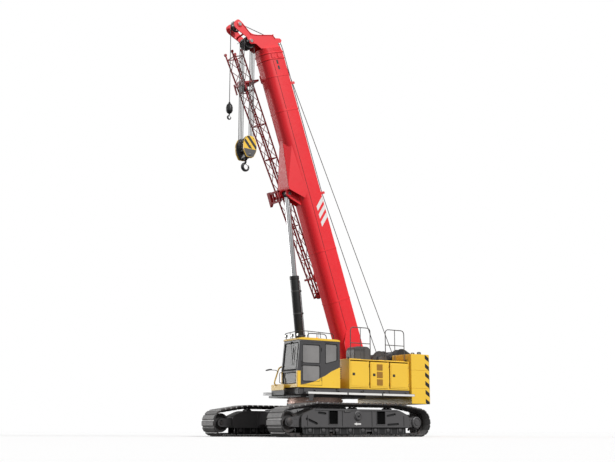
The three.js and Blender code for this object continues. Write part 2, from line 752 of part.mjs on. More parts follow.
function cabDoor() {
  const leaf = block(DOOR_X0, DOOR_X1, CAB_OUTER - CAB_WALL, CAB_OUTER, DOOR_BOTTOM, DOOR_TOP);
  const upper = doorWindow(DOOR_MID + DOOR_RAIL / 2, DOOR_TOP - DOOR_RAIL);
  const lower = doorWindow(DOOR_BOTTOM + DOOR_RAIL + 60, DOOR_MID - DOOR_RAIL / 2);
  const handle = block(DOOR_X1 - 60, DOOR_X1 - 30, CAB_OUTER - 10, CAB_OUTER + 40, DOOR_MID - 90, DOOR_MID + 90);
  return join([cut(leaf, [upper, lower]), handle]);
}

function doorWindow(z0, z1) {
  return block(DOOR_X0 + DOOR_RAIL, DOOR_X1 - DOOR_RAIL, CAB_OUTER - CAB_WALL - 10, CAB_OUTER + 10, z0, z1);
}

place("cab_shell", cabShell(), yellowPaint);
place("cab_roof", cabRoof(), yellowPaint);
place("cab_door", cabDoor(), yellowPaint);
place("windscreen", windscreenGlass(), tintedGlass);

const GLASS_Y = CAB_OUTER - CAB_WALL / 2;
const WINDOW_TOP = CAB_TOP - WINDOW_HEAD;
place(
  "foot_window",
  crossPane(CAB_FRONT - 30, CAB_INNER + 80, CAB_OUTER - 80, CAB_BASE + 130, CAB_BASE + SILL_HEIGHT - 70),
  tintedGlass,
);
place(
  "rear_window",
  crossPane(CAB_REAR + 20, CAB_INNER + 80, CAB_OUTER - 80, CAB_BASE + SILL_HEIGHT + 380, WINDOW_TOP),
  tintedGlass,
);
place(
  "right_window",
  sidePane(CAB_INNER + 20, CAB_REAR + 150, CAB_FRONT - 250, CAB_BASE + SILL_HEIGHT + 60, WINDOW_TOP),
  tintedGlass,
);
place("quarter_window", sidePrism(quarterOutline(SEAT_GAP), GLASS_Y, GLASS_Y + GLASS_THICKNESS), tintedGlass);
place(
  "door_window_upper",
  sidePane(GLASS_Y, DOOR_X0 + DOOR_RAIL, DOOR_X1 - DOOR_RAIL, DOOR_MID + DOOR_RAIL / 2, DOOR_TOP - DOOR_RAIL),
  tintedGlass,
);
place(
  "door_window_lower",
  sidePane(GLASS_Y, DOOR_X0 + DOOR_RAIL, DOOR_X1 - DOOR_RAIL, DOOR_BOTTOM + DOOR_RAIL + 60, DOOR_MID - DOOR_RAIL / 2),
  tintedGlass,
);

// Operator's seat: a pedestal with side consoles, a cushion and a backrest.
const SEAT_X = 500;
const SEAT_WIDTH = 480;
const SEAT_DEPTH = 480;
const CUSHION_BOTTOM = 430;
const CUSHION_THICKNESS = 130;
const BACKREST_HEIGHT = 620;
const CONSOLE_WIDTH = 110;

function seatPedestal(floor, centreY) {
  const half = SEAT_WIDTH / 2;
  const column = block(SEAT_X + 60, SEAT_X + SEAT_DEPTH - 80, centreY - 160, centreY + 160, floor, floor + 360);
  const bottom = floor + 360;
  const top = floor + CUSHION_BOTTOM - SEAT_GAP;
  const pan = block(SEAT_X - 40, SEAT_X + SEAT_DEPTH, centreY - half, centreY + half, bottom - 20, top);
  const arms = [-1, 1].map((side) =>
    block(
      SEAT_X + 60,
      SEAT_X + SEAT_DEPTH + 120,
      centreY + side * (half - 20),
      centreY + side * (half + CONSOLE_WIDTH),
      bottom - 20,
      bottom + 240,
    ),
  );
  const gap = block(
    SEAT_X - 60,
    SEAT_X + SEAT_DEPTH + 200,
    centreY - half,
    centreY + half,
    top,
    bottom + 300,
  );
  return cut(join([column, pan, ...arms]), [gap]);
}

const CAB_FLOOR = CAB_BASE + CAB_WALL + SEAT_GAP;
const SEAT_Y = (CAB_INNER + CAB_OUTER) / 2;
const CUSHION_HALF = SEAT_WIDTH / 2 - 8;
const CUSHION_TOP = CAB_FLOOR + CUSHION_BOTTOM + CUSHION_THICKNESS;
place("seat_pedestal", seatPedestal(CAB_FLOOR, SEAT_Y), darkPaint);
place(
  "seat_cushion",
  block(
    SEAT_X + 20,
    SEAT_X + SEAT_DEPTH + 20,
    SEAT_Y - CUSHION_HALF,
    SEAT_Y + CUSHION_HALF,
    CAB_FLOOR + CUSHION_BOTTOM,
    CUSHION_TOP,
  ),
  seatFabric,
);
place(
  "seat_backrest",
  sidePrism(
    [
      [SEAT_X + 10, CAB_FLOOR + CUSHION_BOTTOM],
      [SEAT_X + 10, CUSHION_TOP],
      [SEAT_X - 60, CUSHION_TOP + BACKREST_HEIGHT],
      [SEAT_X - 180, CUSHION_TOP + BACKREST_HEIGHT],
      [SEAT_X - 110, CAB_FLOOR + CUSHION_BOTTOM],
    ],
    SEAT_Y - CUSHION_HALF,
    SEAT_Y + CUSHION_HALF,
  ),
  seatFabric,
);

// ---------------------------------------------------------------- machinery housings

const HOUSING_BASE = DECK_TOP + SEAT_GAP;
const HOUSING_TOP = HOUSING_BASE + HOUSING_HEIGHT;
const HOUSING_LENGTH = HOUSING_FRONT - HOUSING_REAR;
const DOOR_SILL = HOUSING_BASE + HOUSING_DOOR_RAIL;
const DOOR_HEAD = HOUSING_TOP - HOUSING_DOOR_RAIL - 20;

// Front and rear ends of each door opening, front door first.
function doorways(count) {
  const pitch = HOUSING_LENGTH / count;
  return Array.from({ length: count }, (_, i) => [
    HOUSING_FRONT - (i + 1) * pitch + HOUSING_DOOR_RAIL / 2,
    HOUSING_FRONT - i * pitch - HOUSING_DOOR_RAIL / 2,
  ]);
}

function housing(doorCount) {
  const shell = block(HOUSING_REAR, HOUSING_FRONT, HOUSING_INNER, HOUSING_OUTER, HOUSING_BASE, HOUSING_TOP);
  const room = block(
    HOUSING_REAR + HOUSING_WALL,
    HOUSING_FRONT - HOUSING_WALL,
    HOUSING_INNER + HOUSING_WALL,
    HOUSING_OUTER - HOUSING_WALL,
    HOUSING_BASE + 10,
    HOUSING_TOP - HOUSING_WALL,
  );
  const openings = doorways(doorCount).map(([x0, x1]) =>
    block(x0, x1, HOUSING_OUTER - HOUSING_WALL - 10, HOUSING_OUTER + 10, DOOR_SILL, DOOR_HEAD),
  );
  return cut(shell, [room, ...openings]);
}

function housingDoor([x0, x1]) {
  const y1 = HOUSING_OUTER;
  const y0 = y1 - HOUSING_DOOR_THICKNESS;
  const leaf = block(x0 + MOVING_GAP, x1 - MOVING_GAP, y0, y1, DOOR_SILL + MOVING_GAP, DOOR_HEAD - MOVING_GAP);
  const middle = (DOOR_SILL + DOOR_HEAD) / 2;
  const latch = block(x1 - 90, x1 - 50, y1 - 5, y1 + 12, middle - 35, middle + 35);
  return join([leaf, latch]);
}

place("left_housing", housing(LEFT_DOORS), yellowPaint);
doorways(LEFT_DOORS).forEach((way, i) => place(`left_housing_door_${i + 1}`, housingDoor(way), yellowPaint));
place("right_housing", mirrored(housing(RIGHT_DOORS)), yellowPaint);
doorways(RIGHT_DOORS).forEach((way, i) =>
  place(`right_housing_door_${i + 1}`, mirrored(housingDoor(way)), yellowPaint),
);

function engineBlock() {
  const x0 = HOUSING_REAR + HOUSING_WALL + 60;
  const y0 = HOUSING_INNER + HOUSING_WALL + 60;
  const z0 = HOUSING_BASE + 10 + SEAT_GAP;
  return block(x0, x0 + ENGINE_LENGTH, y0, y0 + ENGINE_WIDTH, z0, z0 + ENGINE_HEIGHT);
}

function airBox() {
  const x1 = HOUSING_FRONT - 560;
  const y0 = HOUSING_INNER + 60;
  const z0 = HOUSING_TOP + SEAT_GAP;
  const half = AIR_BOX_WIDTH / 2;
  const crown = arc(y0 + half, z0 + AIR_BOX_HEIGHT - half, half, 0, 180, 8);
  return crossPrism([[y0, z0], [y0 + AIR_BOX_WIDTH, z0], ...crown], x1 - AIR_BOX_LENGTH, x1);
}

place("engine_block", engineBlock(), darkPaint);
place("air_cleaner_box", airBox(), greyPaint);

// Two guard hoops on a foot rail along the housing's roof, near its outer edge.
function guardRail() {
  const y = HOUSING_OUTER - 180;
  const z0 = HOUSING_TOP + SEAT_GAP;
  const x0 = HOUSING_REAR + 60;
  const x1 = HOUSING_FRONT - 200;
  const half = RAIL_TUBE / 2;
  const foot = block(x0, x1, y - half, y + half, z0, z0 + RAIL_TUBE);
  const span = 880;
  const hoops = [x1 - span, x0].flatMap((x) => [
    block(x, x + RAIL_TUBE, y - half, y + half, z0, z0 + RAIL_HEIGHT),
    block(x + span - RAIL_TUBE, x + span, y - half, y + half, z0, z0 + RAIL_HEIGHT),
    block(x, x + span, y - half, y + half, z0 + RAIL_HEIGHT - RAIL_TUBE, z0 + RAIL_HEIGHT),
    block(x, x + span, y - half, y + half, z0 + 0.5 * RAIL_HEIGHT, z0 + 0.5 * RAIL_HEIGHT + RAIL_TUBE),
  ]);
  return join([foot, ...hoops]);
}

place("guard_rail_left", guardRail(), greyPaint);
place("guard_rail_right", mirrored(guardRail()), greyPaint);

function fuelTank() {
  const x0 = HOUSING_FRONT + 250;
  const z0 = DECK_TOP + SEAT_GAP;
  const y0 = -DECK_HALF_WIDTH + 20;
  const y1 = -CHEEK_OUTER - 120;
  const outline = [
    [y0, z0],
    [y1, z0],
    [y1, z0 + TANK_HEIGHT],
    [y0 + 60, z0 + TANK_HEIGHT],
    [y0, z0 + TANK_HEIGHT - 60],
  ];
  return crossPrism(outline, x0, x0 + TANK_LENGTH);
}

place("fuel_tank", fuelTank(), yellowPaint);

// ---------------------------------------------------------------- counterweight

// One slab across the rear, its rear corners cut off, with a well for the auxiliary winch in the top one.
function counterweightSlab(z0, z1, hasWell) {
  const front = COUNTERWEIGHT_FRONT;
  const rear = COUNTERWEIGHT_REAR;
  const side = COUNTERWEIGHT_HALF_WIDTH;
  const corner = COUNTERWEIGHT_CHAMFER;
  const outline = [
    [front, -side],
    [front, side],
    [rear + corner, side],
    [rear, side - corner],
    [rear, -side + corner],
    [rear + corner, -side],
  ].reverse();
  const slab = deckPrism(outline, z0, z1);
  const well = block(front - WELL_LENGTH, front + 10, -WELL_HALF_WIDTH, WELL_HALF_WIDTH, z0 - 10, z1 + 10);
  return hasWell ? cut(slab, [well]) : slab;
}

let slabBottom = COUNTERWEIGHT_BOTTOM;
["lower", "middle", "upper"].forEach((level, i) => {
  const top = slabBottom + COUNTERWEIGHT_SLABS[i];
  place(`counterweight_${level}`, counterweightSlab(slabBottom, top - SEAT_GAP, level === "upper"), yellowPaint);
  slabBottom = top;
});

// ---------------------------------------------------------------- winches

function winchDrum({ x, z, barrel, flange }) {
  const outside = CHEEK_INNER - MOVING_GAP;
  const inside = outside - WINCH_FLANGE_THICKNESS;
  const end = CHEEK_OUTER;
  return turned(
    [
      [0, -end],
      [WINCH_SHAFT_RADIUS, -end],
      [WINCH_SHAFT_RADIUS, -outside],
      [flange, -outside],
      [flange, -inside],
      [barrel, -inside],
      [barrel, inside],
      [flange, inside],
      [flange, outside],
      [WINCH_SHAFT_RADIUS, outside],
      [WINCH_SHAFT_RADIUS, end],
      [0, end],
    ],
    x,
    z,
  );
}

place("main_winch_drum", winchDrum(MAIN_WINCH), darkPaint);
place("aux_winch_drum", winchDrum(AUX_WINCH), darkPaint);

// ---------------------------------------------------------------- boom

// A section's [y, z] outline, drawn in from the base section's: tight corners above, a deep curve below.
function boomOutline(inset) {
  const half = BOOM_WIDTH / 2 - inset;
  const top = BOOM_OVER_PIN - inset;
  const bottom = -BOOM_UNDER_PIN + inset;
  const lower = Math.max(BOOM_LOWER_RADIUS - inset, 60);
  const upper = Math.max(BOOM_UPPER_RADIUS - inset, 10);
  return [
    ...arc(half - upper, top - upper, upper, 0, 90, 1),
    ...arc(-half + upper, top - upper, upper, 90, 180, 1),
    ...arc(-half + lower, bottom + lower, lower, 180, 270, 4),
    ...arc(half - lower, bottom + lower, lower, 270, 360, 4),
  ];
}

// Jib chord points at a share of its length from the tip, inside the boom's frame.
function jibStation(share) {
  const mix = (key) => JIB_TIP[key] + (JIB_ROOT[key] - JIB_TIP[key]) * share;
  const corner = (side, level) => [mix("x"), mix("y") + (side * mix("width")) / 2, mix("z") + (level * mix("height")) / 2];
  return [corner(-1, -1), corner(1, -1), corner(1, 1), corner(-1, 1)];
}

const JIB_BRACKETS = [0.08, 0.44, 0.87];

// A shelf on the boom's right side that reaches to the jib's inner face.
function jibBracket(share) {
  const inner = jibStation(share);
  const y = inner[1][1] + JIB_TUBE * 0.7;
  const x = inner[1][0];
  const z0 = Math.max(inner[1][2], -BOOM_UNDER_PIN + 60);
  const z1 = Math.max(inner[2][2], z0 + 160);
  return block(x - 40, x + 40, y, -BOOM_WIDTH / 2 + BOOM_WALL + 100, z0, z1);
}

// Twin plates under the boom that carry the lift cylinder's rod eye, drawn out forward as a gusset.
function liftBracket(y0) {
  const root = -BOOM_UNDER_PIN + BOOM_WALL - 5;
  const { x, z } = LIFT_EYE;
  const outline = [
    [x - 520, root],
    [x - 140, z - 60],
    [x - 60, z - 130],
    [x + 60, z - 130],
    [x + 140, z - 60],
    [x + 500, root - 160],
    [x + 1900, root - 60],
    [x + 2400, root],
  ];
  return sidePrism(outline, y0, y0 + BRACKET_THICKNESS);
}

const BRACKET_INNER = ROD_EYE_WIDTH / 2 + 10;

function boomBaseSection() {
  const tube = crossPrism(boomOutline(0), BOOM_REAR, BOOM_BASE_END);
  const collar = crossPrism(boomOutline(-22), BOOM_BASE_END - 260, BOOM_BASE_END);
  const footPin = crossBar(FOOT_PIN_RADIUS, 0, 0, -CHEEK_OUTER, CHEEK_OUTER);
  const brackets = [-BRACKET_INNER - BRACKET_THICKNESS, BRACKET_INNER].map(liftBracket);
  const shelves = JIB_BRACKETS.map(jibBracket);
  const bore = crossPrism(boomOutline(BOOM_WALL), SECTION_REAR - 200, BOOM_BASE_END + 10);
  return cut(join([tube, collar, footPin, ...brackets, ...shelves]), [bore]);
}

// The front end of a section's collar; section 1 is the base section.
function collarEnd(section) {
  return BOOM_BASE_END + (section - 1) * (COLLAR_LENGTH + MOVING_GAP);
}

function boomSection(section) {
  const inset = (section - 1) * BOOM_STEP;
  const rear = SECTION_REAR + (section - 2) * SECTION_REAR_STEP;
  const end = collarEnd(section);
  const tube = crossPrism(boomOutline(inset), rear, end);
  const collar = crossPrism(boomOutline((section - 2) * COLLAR_STEP + 4), end - COLLAR_LENGTH, end);
  const bore = crossPrism(boomOutline(inset + BOOM_WALL), rear - 10, end + 10);
  return cut(join([tube, collar]), [bore]);
}

place("boom_base_section", boomBaseSection(), redPaint, boom);
for (let section = 2; section <= SECTIONS; section += 1) {
  place(`boom_section_${section}`, boomSection(section), redPaint, boom);
}

// ---------------------------------------------------------------- boom head

const HEAD_REAR = collarEnd(SECTIONS) + SEAT_GAP;
const HEAD_HALF = HEAD_PLATE_SPACING / 2;

function headOutline() {
  const main = HEAD_SHEAVE;
  const aux = AUX_SHEAVE;
  return [
    [HEAD_REAR, -380],
    [main.x - 110, -560],
    [main.x - 100, main.z - 60],
    [main.x + 20, main.z - 130],
    [main.x + 150, main.z - 130],
    [aux.x - 190, aux.z - 150],
    [aux.x - 60, aux.z - 250],
    [aux.x + 90, aux.z - 230],
    [aux.x + 215, aux.z - 5],
    [aux.x + 60, aux.z + 130],
    [main.x + 270, main.z + 70],
    [main.x + 205, -400],
    [main.x + 150, 290],
    [main.x - 170, 420],
    [HEAD_REAR, 430],
  ];
}

function boomHead() {
  const plates = [-HEAD_HALF - HEAD_PLATE_THICKNESS, HEAD_HALF].map((y) =>
    sidePrism(headOutline(), y, y + HEAD_PLATE_THICKNESS),
  );
  const inside = HEAD_HALF + 5;
  const rearWall = block(HEAD_REAR, HEAD_REAR + 40, -inside, inside, -380, 430);
  const frontWall = block(HEAD_SHEAVE.x + 60, HEAD_SHEAVE.x + 100, -inside, inside, -380, 280);
  const tieX = (HEAD_SHEAVE.x + AUX_SHEAVE.x) / 2;
  const tieZ = (HEAD_SHEAVE.z + AUX_SHEAVE.z) / 2;
  const tie = crossBar(35, tieX, tieZ, -inside, inside, 12);
  const shafts = [
    crossBar(SHEAVE_SHAFT_RADIUS + PIN_GAP, HEAD_SHEAVE.x, HEAD_SHEAVE.z, -400, 400),
    crossBar(SHEAVE_SHAFT_RADIUS + PIN_GAP, AUX_SHEAVE.x, AUX_SHEAVE.z, -400, 400),
  ];
  return cut(join([...plates, rearWall, frontWall, tie]), shafts);
}

// Sheaves side by side on one shaft, each with a groove.
function sheaves({ x, z, radius, width }, offsets) {
  const shaftEnd = HEAD_HALF + HEAD_PLATE_THICKNESS + 8;
  const bars = [crossBar(SHEAVE_SHAFT_RADIUS, x, z, -shaftEnd, shaftEnd)];
  const wheels = offsets.map((y) =>
    turned(
      [
        [0, y - width / 2],
        [radius, y - width / 2],
        [radius - SHEAVE_GROOVE, y],
        [radius, y + width / 2],
        [0, y + width / 2],
      ],
      x,
      z,
    ),
  );
  return join([...bars, ...wheels]);
}

const MAIN_OFFSETS = Array.from(
  { length: HEAD_SHEAVE.count },
  (_, i) => (i - (HEAD_SHEAVE.count - 1) / 2) * HEAD_SHEAVE.pitch,
);

place("boom_head", boomHead(), redPaint, boom);
place("head_sheaves", sheaves(HEAD_SHEAVE, MAIN_OFFSETS), greyPaint, boom);
place("aux_sheave", sheaves(AUX_SHEAVE, [0]), greyPaint, boom);

// ---------------------------------------------------------------- stowed jib

function jib() {
  const root = jibStation(1);
  const tip = jibStation(0);
  const chords = root.map((corner, i) => strut(tip[i], corner, JIB_TUBE));
  const frames = Array.from({ length: JIB_BAYS + 1 }, (_, bay) => {
    const corners = jibStation(0.02 + (0.96 * bay) / JIB_BAYS);
    return corners.map((corner, i) => strut(corner, corners[(i + 1) % 4], JIB_TUBE * 0.75));
  }).flat();
  return join([...chords, ...frames]);
}

place("jib", jib(), redPaint, boom);

// ---------------------------------------------------------------- lift cylinder

const [EYE_X, EYE_Z] = fromBoom(LIFT_EYE.x, LIFT_EYE.z);
const LIFT_LENGTH = Math.hypot(EYE_X - LIFT_BASE_X, EYE_Z - LIFT_BASE_Z);
const lift = new THREE.Group();
lift.position.set(LIFT_BASE_X, 0, LIFT_BASE_Z);
lift.rotation.y = -Math.atan2(EYE_Z - LIFT_BASE_Z, EYE_X - LIFT_BASE_X);
crane.add(lift);

function liftBarrel() {
  const eye = crossBar(BASE_EYE_RADIUS, 0, 0, -CHEEK_INNER + 100, CHEEK_INNER - 100);
  const pin = crossBar(BASE_PIN_RADIUS, 0, 0, -CHEEK_OUTER, CHEEK_OUTER);
  const tube = lengthBar(BARREL_RADIUS, 0, BARREL_LENGTH);
  const gland = lengthBar(BARREL_RADIUS + 12, BARREL_LENGTH - 120, BARREL_LENGTH - 10);
  const bore = lengthBar(ROD_RADIUS + MOVING_GAP, 250, BARREL_LENGTH + 10);
  return cut(join([eye, pin, tube, gland]), [bore]);
}

function liftRod() {
  const rod = lengthBar(ROD_RADIUS - 1, ROD_INNER_END, LIFT_LENGTH);
  const eye = crossBar(ROD_EYE_RADIUS, LIFT_LENGTH, 0, -ROD_EYE_WIDTH / 2, ROD_EYE_WIDTH / 2);
  return join([rod, eye]);
}

place("lift_cylinder_barrel", liftBarrel(), darkPaint, lift);
place("lift_cylinder_rod", liftRod(), chrome, lift);

// ---------------------------------------------------------------- hoist ropes and hooks

const [MAIN_X, MAIN_Z] = fromBoom(HEAD_SHEAVE.x, HEAD_SHEAVE.z);
const [AUX_CENTRE_X, AUX_Z] = fromBoom(AUX_SHEAVE.x, AUX_SHEAVE.z);
const FALL_SPREAD = HEAD_SHEAVE.radius - SHEAVE_GROOVE;
const AUX_X = AUX_CENTRE_X + AUX_SHEAVE.radius - SHEAVE_GROOVE + ROPE / 2;
const MAIN_FALL_TOP = MAIN_Z - HEAD_SHEAVE.radius - 20;

// The rope between the head and the block, as one line that goes down and up round each sheave.
function mainFalls() {
  const z0 = MAIN_BLOCK_TOP + SEAT_GAP;
  const z1 = MAIN_FALL_TOP;
  const lines = MAIN_OFFSETS.flatMap((y) => [
    { x: MAIN_X + FALL_SPREAD, y },
    { x: MAIN_X - FALL_SPREAD, y },
  ]);
  const falls = lines.map(({ x, y }) =>
    block(x - ROPE / 2, x + ROPE / 2, y - ROPE / 2, y + ROPE / 2, z0, z1),
  );
  const turns = lines.slice(1).map((line, i) => {
    const z = i % 2 ? z1 - ROPE / 2 : z0 + ROPE / 2;
    return strut([lines[i].x, lines[i].y, z], [line.x, line.y, z], ROPE * 0.9);
  });
  return join([...falls, ...turns]);
}

const BLOCK_HALF = MAIN_BLOCK_WIDTH / 2;
const BLOCK_BOTTOM = MAIN_BLOCK_TOP - MAIN_BLOCK_HEIGHT;

function hookBlock() {
  const outline = [
    [MAIN_X - 130, BLOCK_BOTTOM],
    [MAIN_X + 130, BLOCK_BOTTOM],
    [MAIN_X + 270, BLOCK_BOTTOM + 260],
    [MAIN_X + 270, MAIN_BLOCK_TOP - 240],
    [MAIN_X + 150, MAIN_BLOCK_TOP],
    [MAIN_X - 150, MAIN_BLOCK_TOP],
    [MAIN_X - 270, MAIN_BLOCK_TOP - 240],
    [MAIN_X - 270, BLOCK_BOTTOM + 260],
  ];
  const cheeks = [-BLOCK_HALF, BLOCK_HALF - 45].map((y) => sidePrism(outline, y, y + 45));
  const inside = BLOCK_HALF - 40;
  const shaftZ = MAIN_BLOCK_TOP - 300;
  const shaft = crossBar(60, MAIN_X, shaftZ, -inside, inside);
  const wheels = MAIN_OFFSETS.map((y) => crossBar(225, MAIN_X, shaftZ, y - 23, y + 23));
  const trunnion = block(MAIN_X - 110, MAIN_X + 110, -inside, inside, BLOCK_BOTTOM + 20, BLOCK_BOTTOM + 170);
  return join([...cheeks, shaft, ...wheels, trunnion]);
}

// A hook that hangs from its shank: a C of constant thickness with its mouth towards the front.
function hook(x, top, bottom, thickness, girth) {
  const outer = (top - bottom) * 0.36;
  const inner = outer - girth;
  const centreZ = bottom + outer;
  const bowl = [
    ...arc(x, centreZ, outer, 100, 385, 16),
    ...arc(x, centreZ, inner, 385, 100, 12),
  ];
  const shank = block(x - girth / 2, x + girth / 2, -thickness / 2, thickness / 2, centreZ + inner + girth * 0.2, top);
  return join([sidePrism(bowl, -thickness / 2, thickness / 2), shank]);
}

const MAIN_HOOK_TOP = BLOCK_BOTTOM + 20 - SEAT_GAP;

function auxHook() {
  const bottom = AUX_WEIGHT_TOP - AUX_WEIGHT_HEIGHT;
  const r = AUX_WEIGHT_RADIUS;
  const profile = [
    [0, bottom],
    [r * 0.6, bottom],
    [r, bottom + 70],
    [r, AUX_WEIGHT_TOP - 190],
    [r * 0.45, AUX_WEIGHT_TOP - 70],
    [r * 0.4, AUX_WEIGHT_TOP],
    [0, AUX_WEIGHT_TOP],
  ].map(([radius, z]) => new THREE.Vector2(radius, z));
  const weight = new THREE.LatheGeometry(profile, 16).rotateX(Math.PI / 2).translate(AUX_X, 0, 0);
  const claw = hook(AUX_X, bottom + 10, AUX_HOOK_BOTTOM, AUX_HOOK_THICKNESS, 36);
  return join([solid(weight), claw]);
}

place("main_falls", mainFalls(), ropeSteel);
place("main_hook_block", hookBlock(), yellowPaint);
place("main_hook", hook(MAIN_X, MAIN_HOOK_TOP, MAIN_HOOK_BOTTOM, MAIN_HOOK_THICKNESS, 78), darkPaint);
place(
  "aux_fall",
  block(AUX_X - ROPE / 2, AUX_X + ROPE / 2, -ROPE / 2, ROPE / 2, AUX_WEIGHT_TOP + SEAT_GAP, AUX_Z - 60),
  ropeSteel,
);
place("aux_hook", auxHook(), darkPaint);

export default crane;
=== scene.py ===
"""Visual model of a telescopic-boom crawler crane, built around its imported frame.

Metres, in the crane's frame: +X to the front, +Y to the left, +Z up, the ground at z = 0.
Each piece is gathered in a Kit from plain shapes, and rides on one of the crane's bodies.
"""
import json
from math import acos, atan2, cos, hypot, pi, radians, sin

import bpy
import bmesh
from mathutils import Matrix, Vector
from mathutils.geometry import tessellate_polygon


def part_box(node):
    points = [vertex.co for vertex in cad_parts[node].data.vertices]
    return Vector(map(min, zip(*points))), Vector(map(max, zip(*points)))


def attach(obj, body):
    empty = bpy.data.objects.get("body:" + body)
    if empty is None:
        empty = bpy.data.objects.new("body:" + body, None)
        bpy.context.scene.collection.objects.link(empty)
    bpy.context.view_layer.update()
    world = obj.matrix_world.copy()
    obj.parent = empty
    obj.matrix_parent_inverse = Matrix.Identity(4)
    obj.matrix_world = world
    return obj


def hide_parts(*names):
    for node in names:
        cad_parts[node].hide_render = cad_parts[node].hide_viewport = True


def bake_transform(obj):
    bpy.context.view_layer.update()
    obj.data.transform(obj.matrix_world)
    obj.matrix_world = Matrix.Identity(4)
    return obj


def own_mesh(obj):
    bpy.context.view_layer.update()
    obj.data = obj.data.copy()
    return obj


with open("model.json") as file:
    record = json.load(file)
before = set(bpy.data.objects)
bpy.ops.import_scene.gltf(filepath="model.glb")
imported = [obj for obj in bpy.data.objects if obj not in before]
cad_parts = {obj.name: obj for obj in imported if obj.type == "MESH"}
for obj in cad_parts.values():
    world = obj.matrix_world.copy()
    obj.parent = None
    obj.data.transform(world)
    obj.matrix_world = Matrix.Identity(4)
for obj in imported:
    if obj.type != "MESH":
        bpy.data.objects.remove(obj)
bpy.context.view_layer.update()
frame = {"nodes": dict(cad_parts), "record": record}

# ---------------------------------------------------------------- main places and frames of reference


def middle(node, axis):
    low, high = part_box(node)
    return (low[axis] + high[axis]) / 2


AXIS_X = middle("slew_ring", 0)  # the slewing axis; crane-side numbers below count from it
BOOM_FOOT = (-1.640, 2.550)
BOOM_ANGLE = radians(71.3)
BASE_END = 11.810
CRANE = Matrix.Translation((AXIS_X, 0, 0))
BOOM = Matrix.Translation((AXIS_X + BOOM_FOOT[0], 0, BOOM_FOOT[1])) @ Matrix.Rotation(-BOOM_ANGLE, 4, "Y")
LIFT_BASE = (0.470, 1.800)
LIFT_EYE = (6.650, -0.790)

# ---------------------------------------------------------------- camera

LENS, SENSOR = 55.57, 36
CAMERA_PLACE = (19.928, 27.821, 0.182)
CAMERA_YAW, CAMERA_PITCH = radians(34.96), radians(11.918)


def add_camera():
    """The photo's viewpoint, low beside the crane and looking up."""
    data = bpy.data.cameras.new("camera")
    data.lens = LENS
    data.sensor_width = SENSOR
    data.clip_end = 400
    camera = bpy.data.objects.new("camera", data)
    bpy.context.scene.collection.objects.link(camera)
    level = cos(CAMERA_PITCH)
    forward = Vector((-level * sin(CAMERA_YAW), -level * cos(CAMERA_YAW), sin(CAMERA_PITCH)))
    camera.location = CAMERA_PLACE
    camera.rotation_euler = forward.to_track_quat("-Z", "Y").to_euler()
    bpy.context.scene.camera = camera


add_camera()

# ---------------------------------------------------------------- materials


class Nodes:
    """A material's node tree, with short ways to add and join its nodes."""

    def __init__(self, name):
        self.material = bpy.data.materials.new(name)
        self.material.use_nodes = True
        self.tree = self.material.node_tree
        self.shader = self.tree.nodes["Principled BSDF"]
        self.output = self.tree.nodes["Material Output"]
        self.coordinates = self.node("ShaderNodeTexCoord").outputs["Object"]

    def node(self, kind, **settings):
        made = self.tree.nodes.new(kind)
        for key, value in settings.items():
            setattr(made, key, value)
        return made

    def link(self, source, target):
        self.tree.links.new(source, target)

    def set(self, name, value):
        """Gives one of the shader's inputs a number or a colour."""
        self.shader.inputs[name].default_value = value

    def drive(self, name, source):
        """Links a node's output to one of the shader's inputs."""
        self.link(source, self.shader.inputs[name])

    def noise(self, scale, detail=3.0, roughness=0.55, stretch=(1, 1, 1)):
        mapping = self.node("ShaderNodeMapping")
        mapping.inputs["Scale"].default_value = stretch
        self.link(self.coordinates, mapping.inputs["Vector"])
        noise = self.node("ShaderNodeTexNoise")
        noise.inputs["Scale"].default_value = scale
        noise.inputs["Detail"].default_value = detail
        noise.inputs["Roughness"].default_value = roughness
        self.link(mapping.outputs["Vector"], noise.inputs["Vector"])
        return noise.outputs["Fac"]

    def ramp(self, source, low, high, to_low=0.0, to_high=1.0):
        ramp = self.node("ShaderNodeMapRange", interpolation_type="SMOOTHSTEP")
        for key, value in (("From Min", low), ("From Max", high), ("To Min", to_low), ("To Max", to_high)):
            ramp.inputs[key].default_value = value
        self.link(source, ramp.inputs["Value"])
        return ramp.outputs["Result"]

    def math(self, operation, a, b):
        made = self.node("ShaderNodeMath", operation=operation)
        for socket, value in zip(made.inputs, (a, b)):
            if isinstance(value, (int, float)):
                socket.default_value = value
            else:
                self.link(value, socket)
        return made.outputs[0]

    def mix(self, share, a, b):
        made = self.node("ShaderNodeMix", data_type="RGBA")
        self.link(share, made.inputs["Factor"])
        for socket, value in ((made.inputs[6], a), (made.inputs[7], b)):
            if isinstance(value, tuple):
                socket.default_value = (*value, 1)
            else:
                self.link(value, socket)
        return made.outputs[2]

    def bump(self, height, strength, distance):
        made = self.node("ShaderNodeBump")
        made.inputs["Strength"].default_value = strength
        made.inputs["Distance"].default_value = distance
        self.link(height, made.inputs["Height"])
        return made.outputs["Normal"]


def shade(color, factor):
    """The colour made lighter or darker."""
    return tuple(min(1.0, c * factor) for c in color)


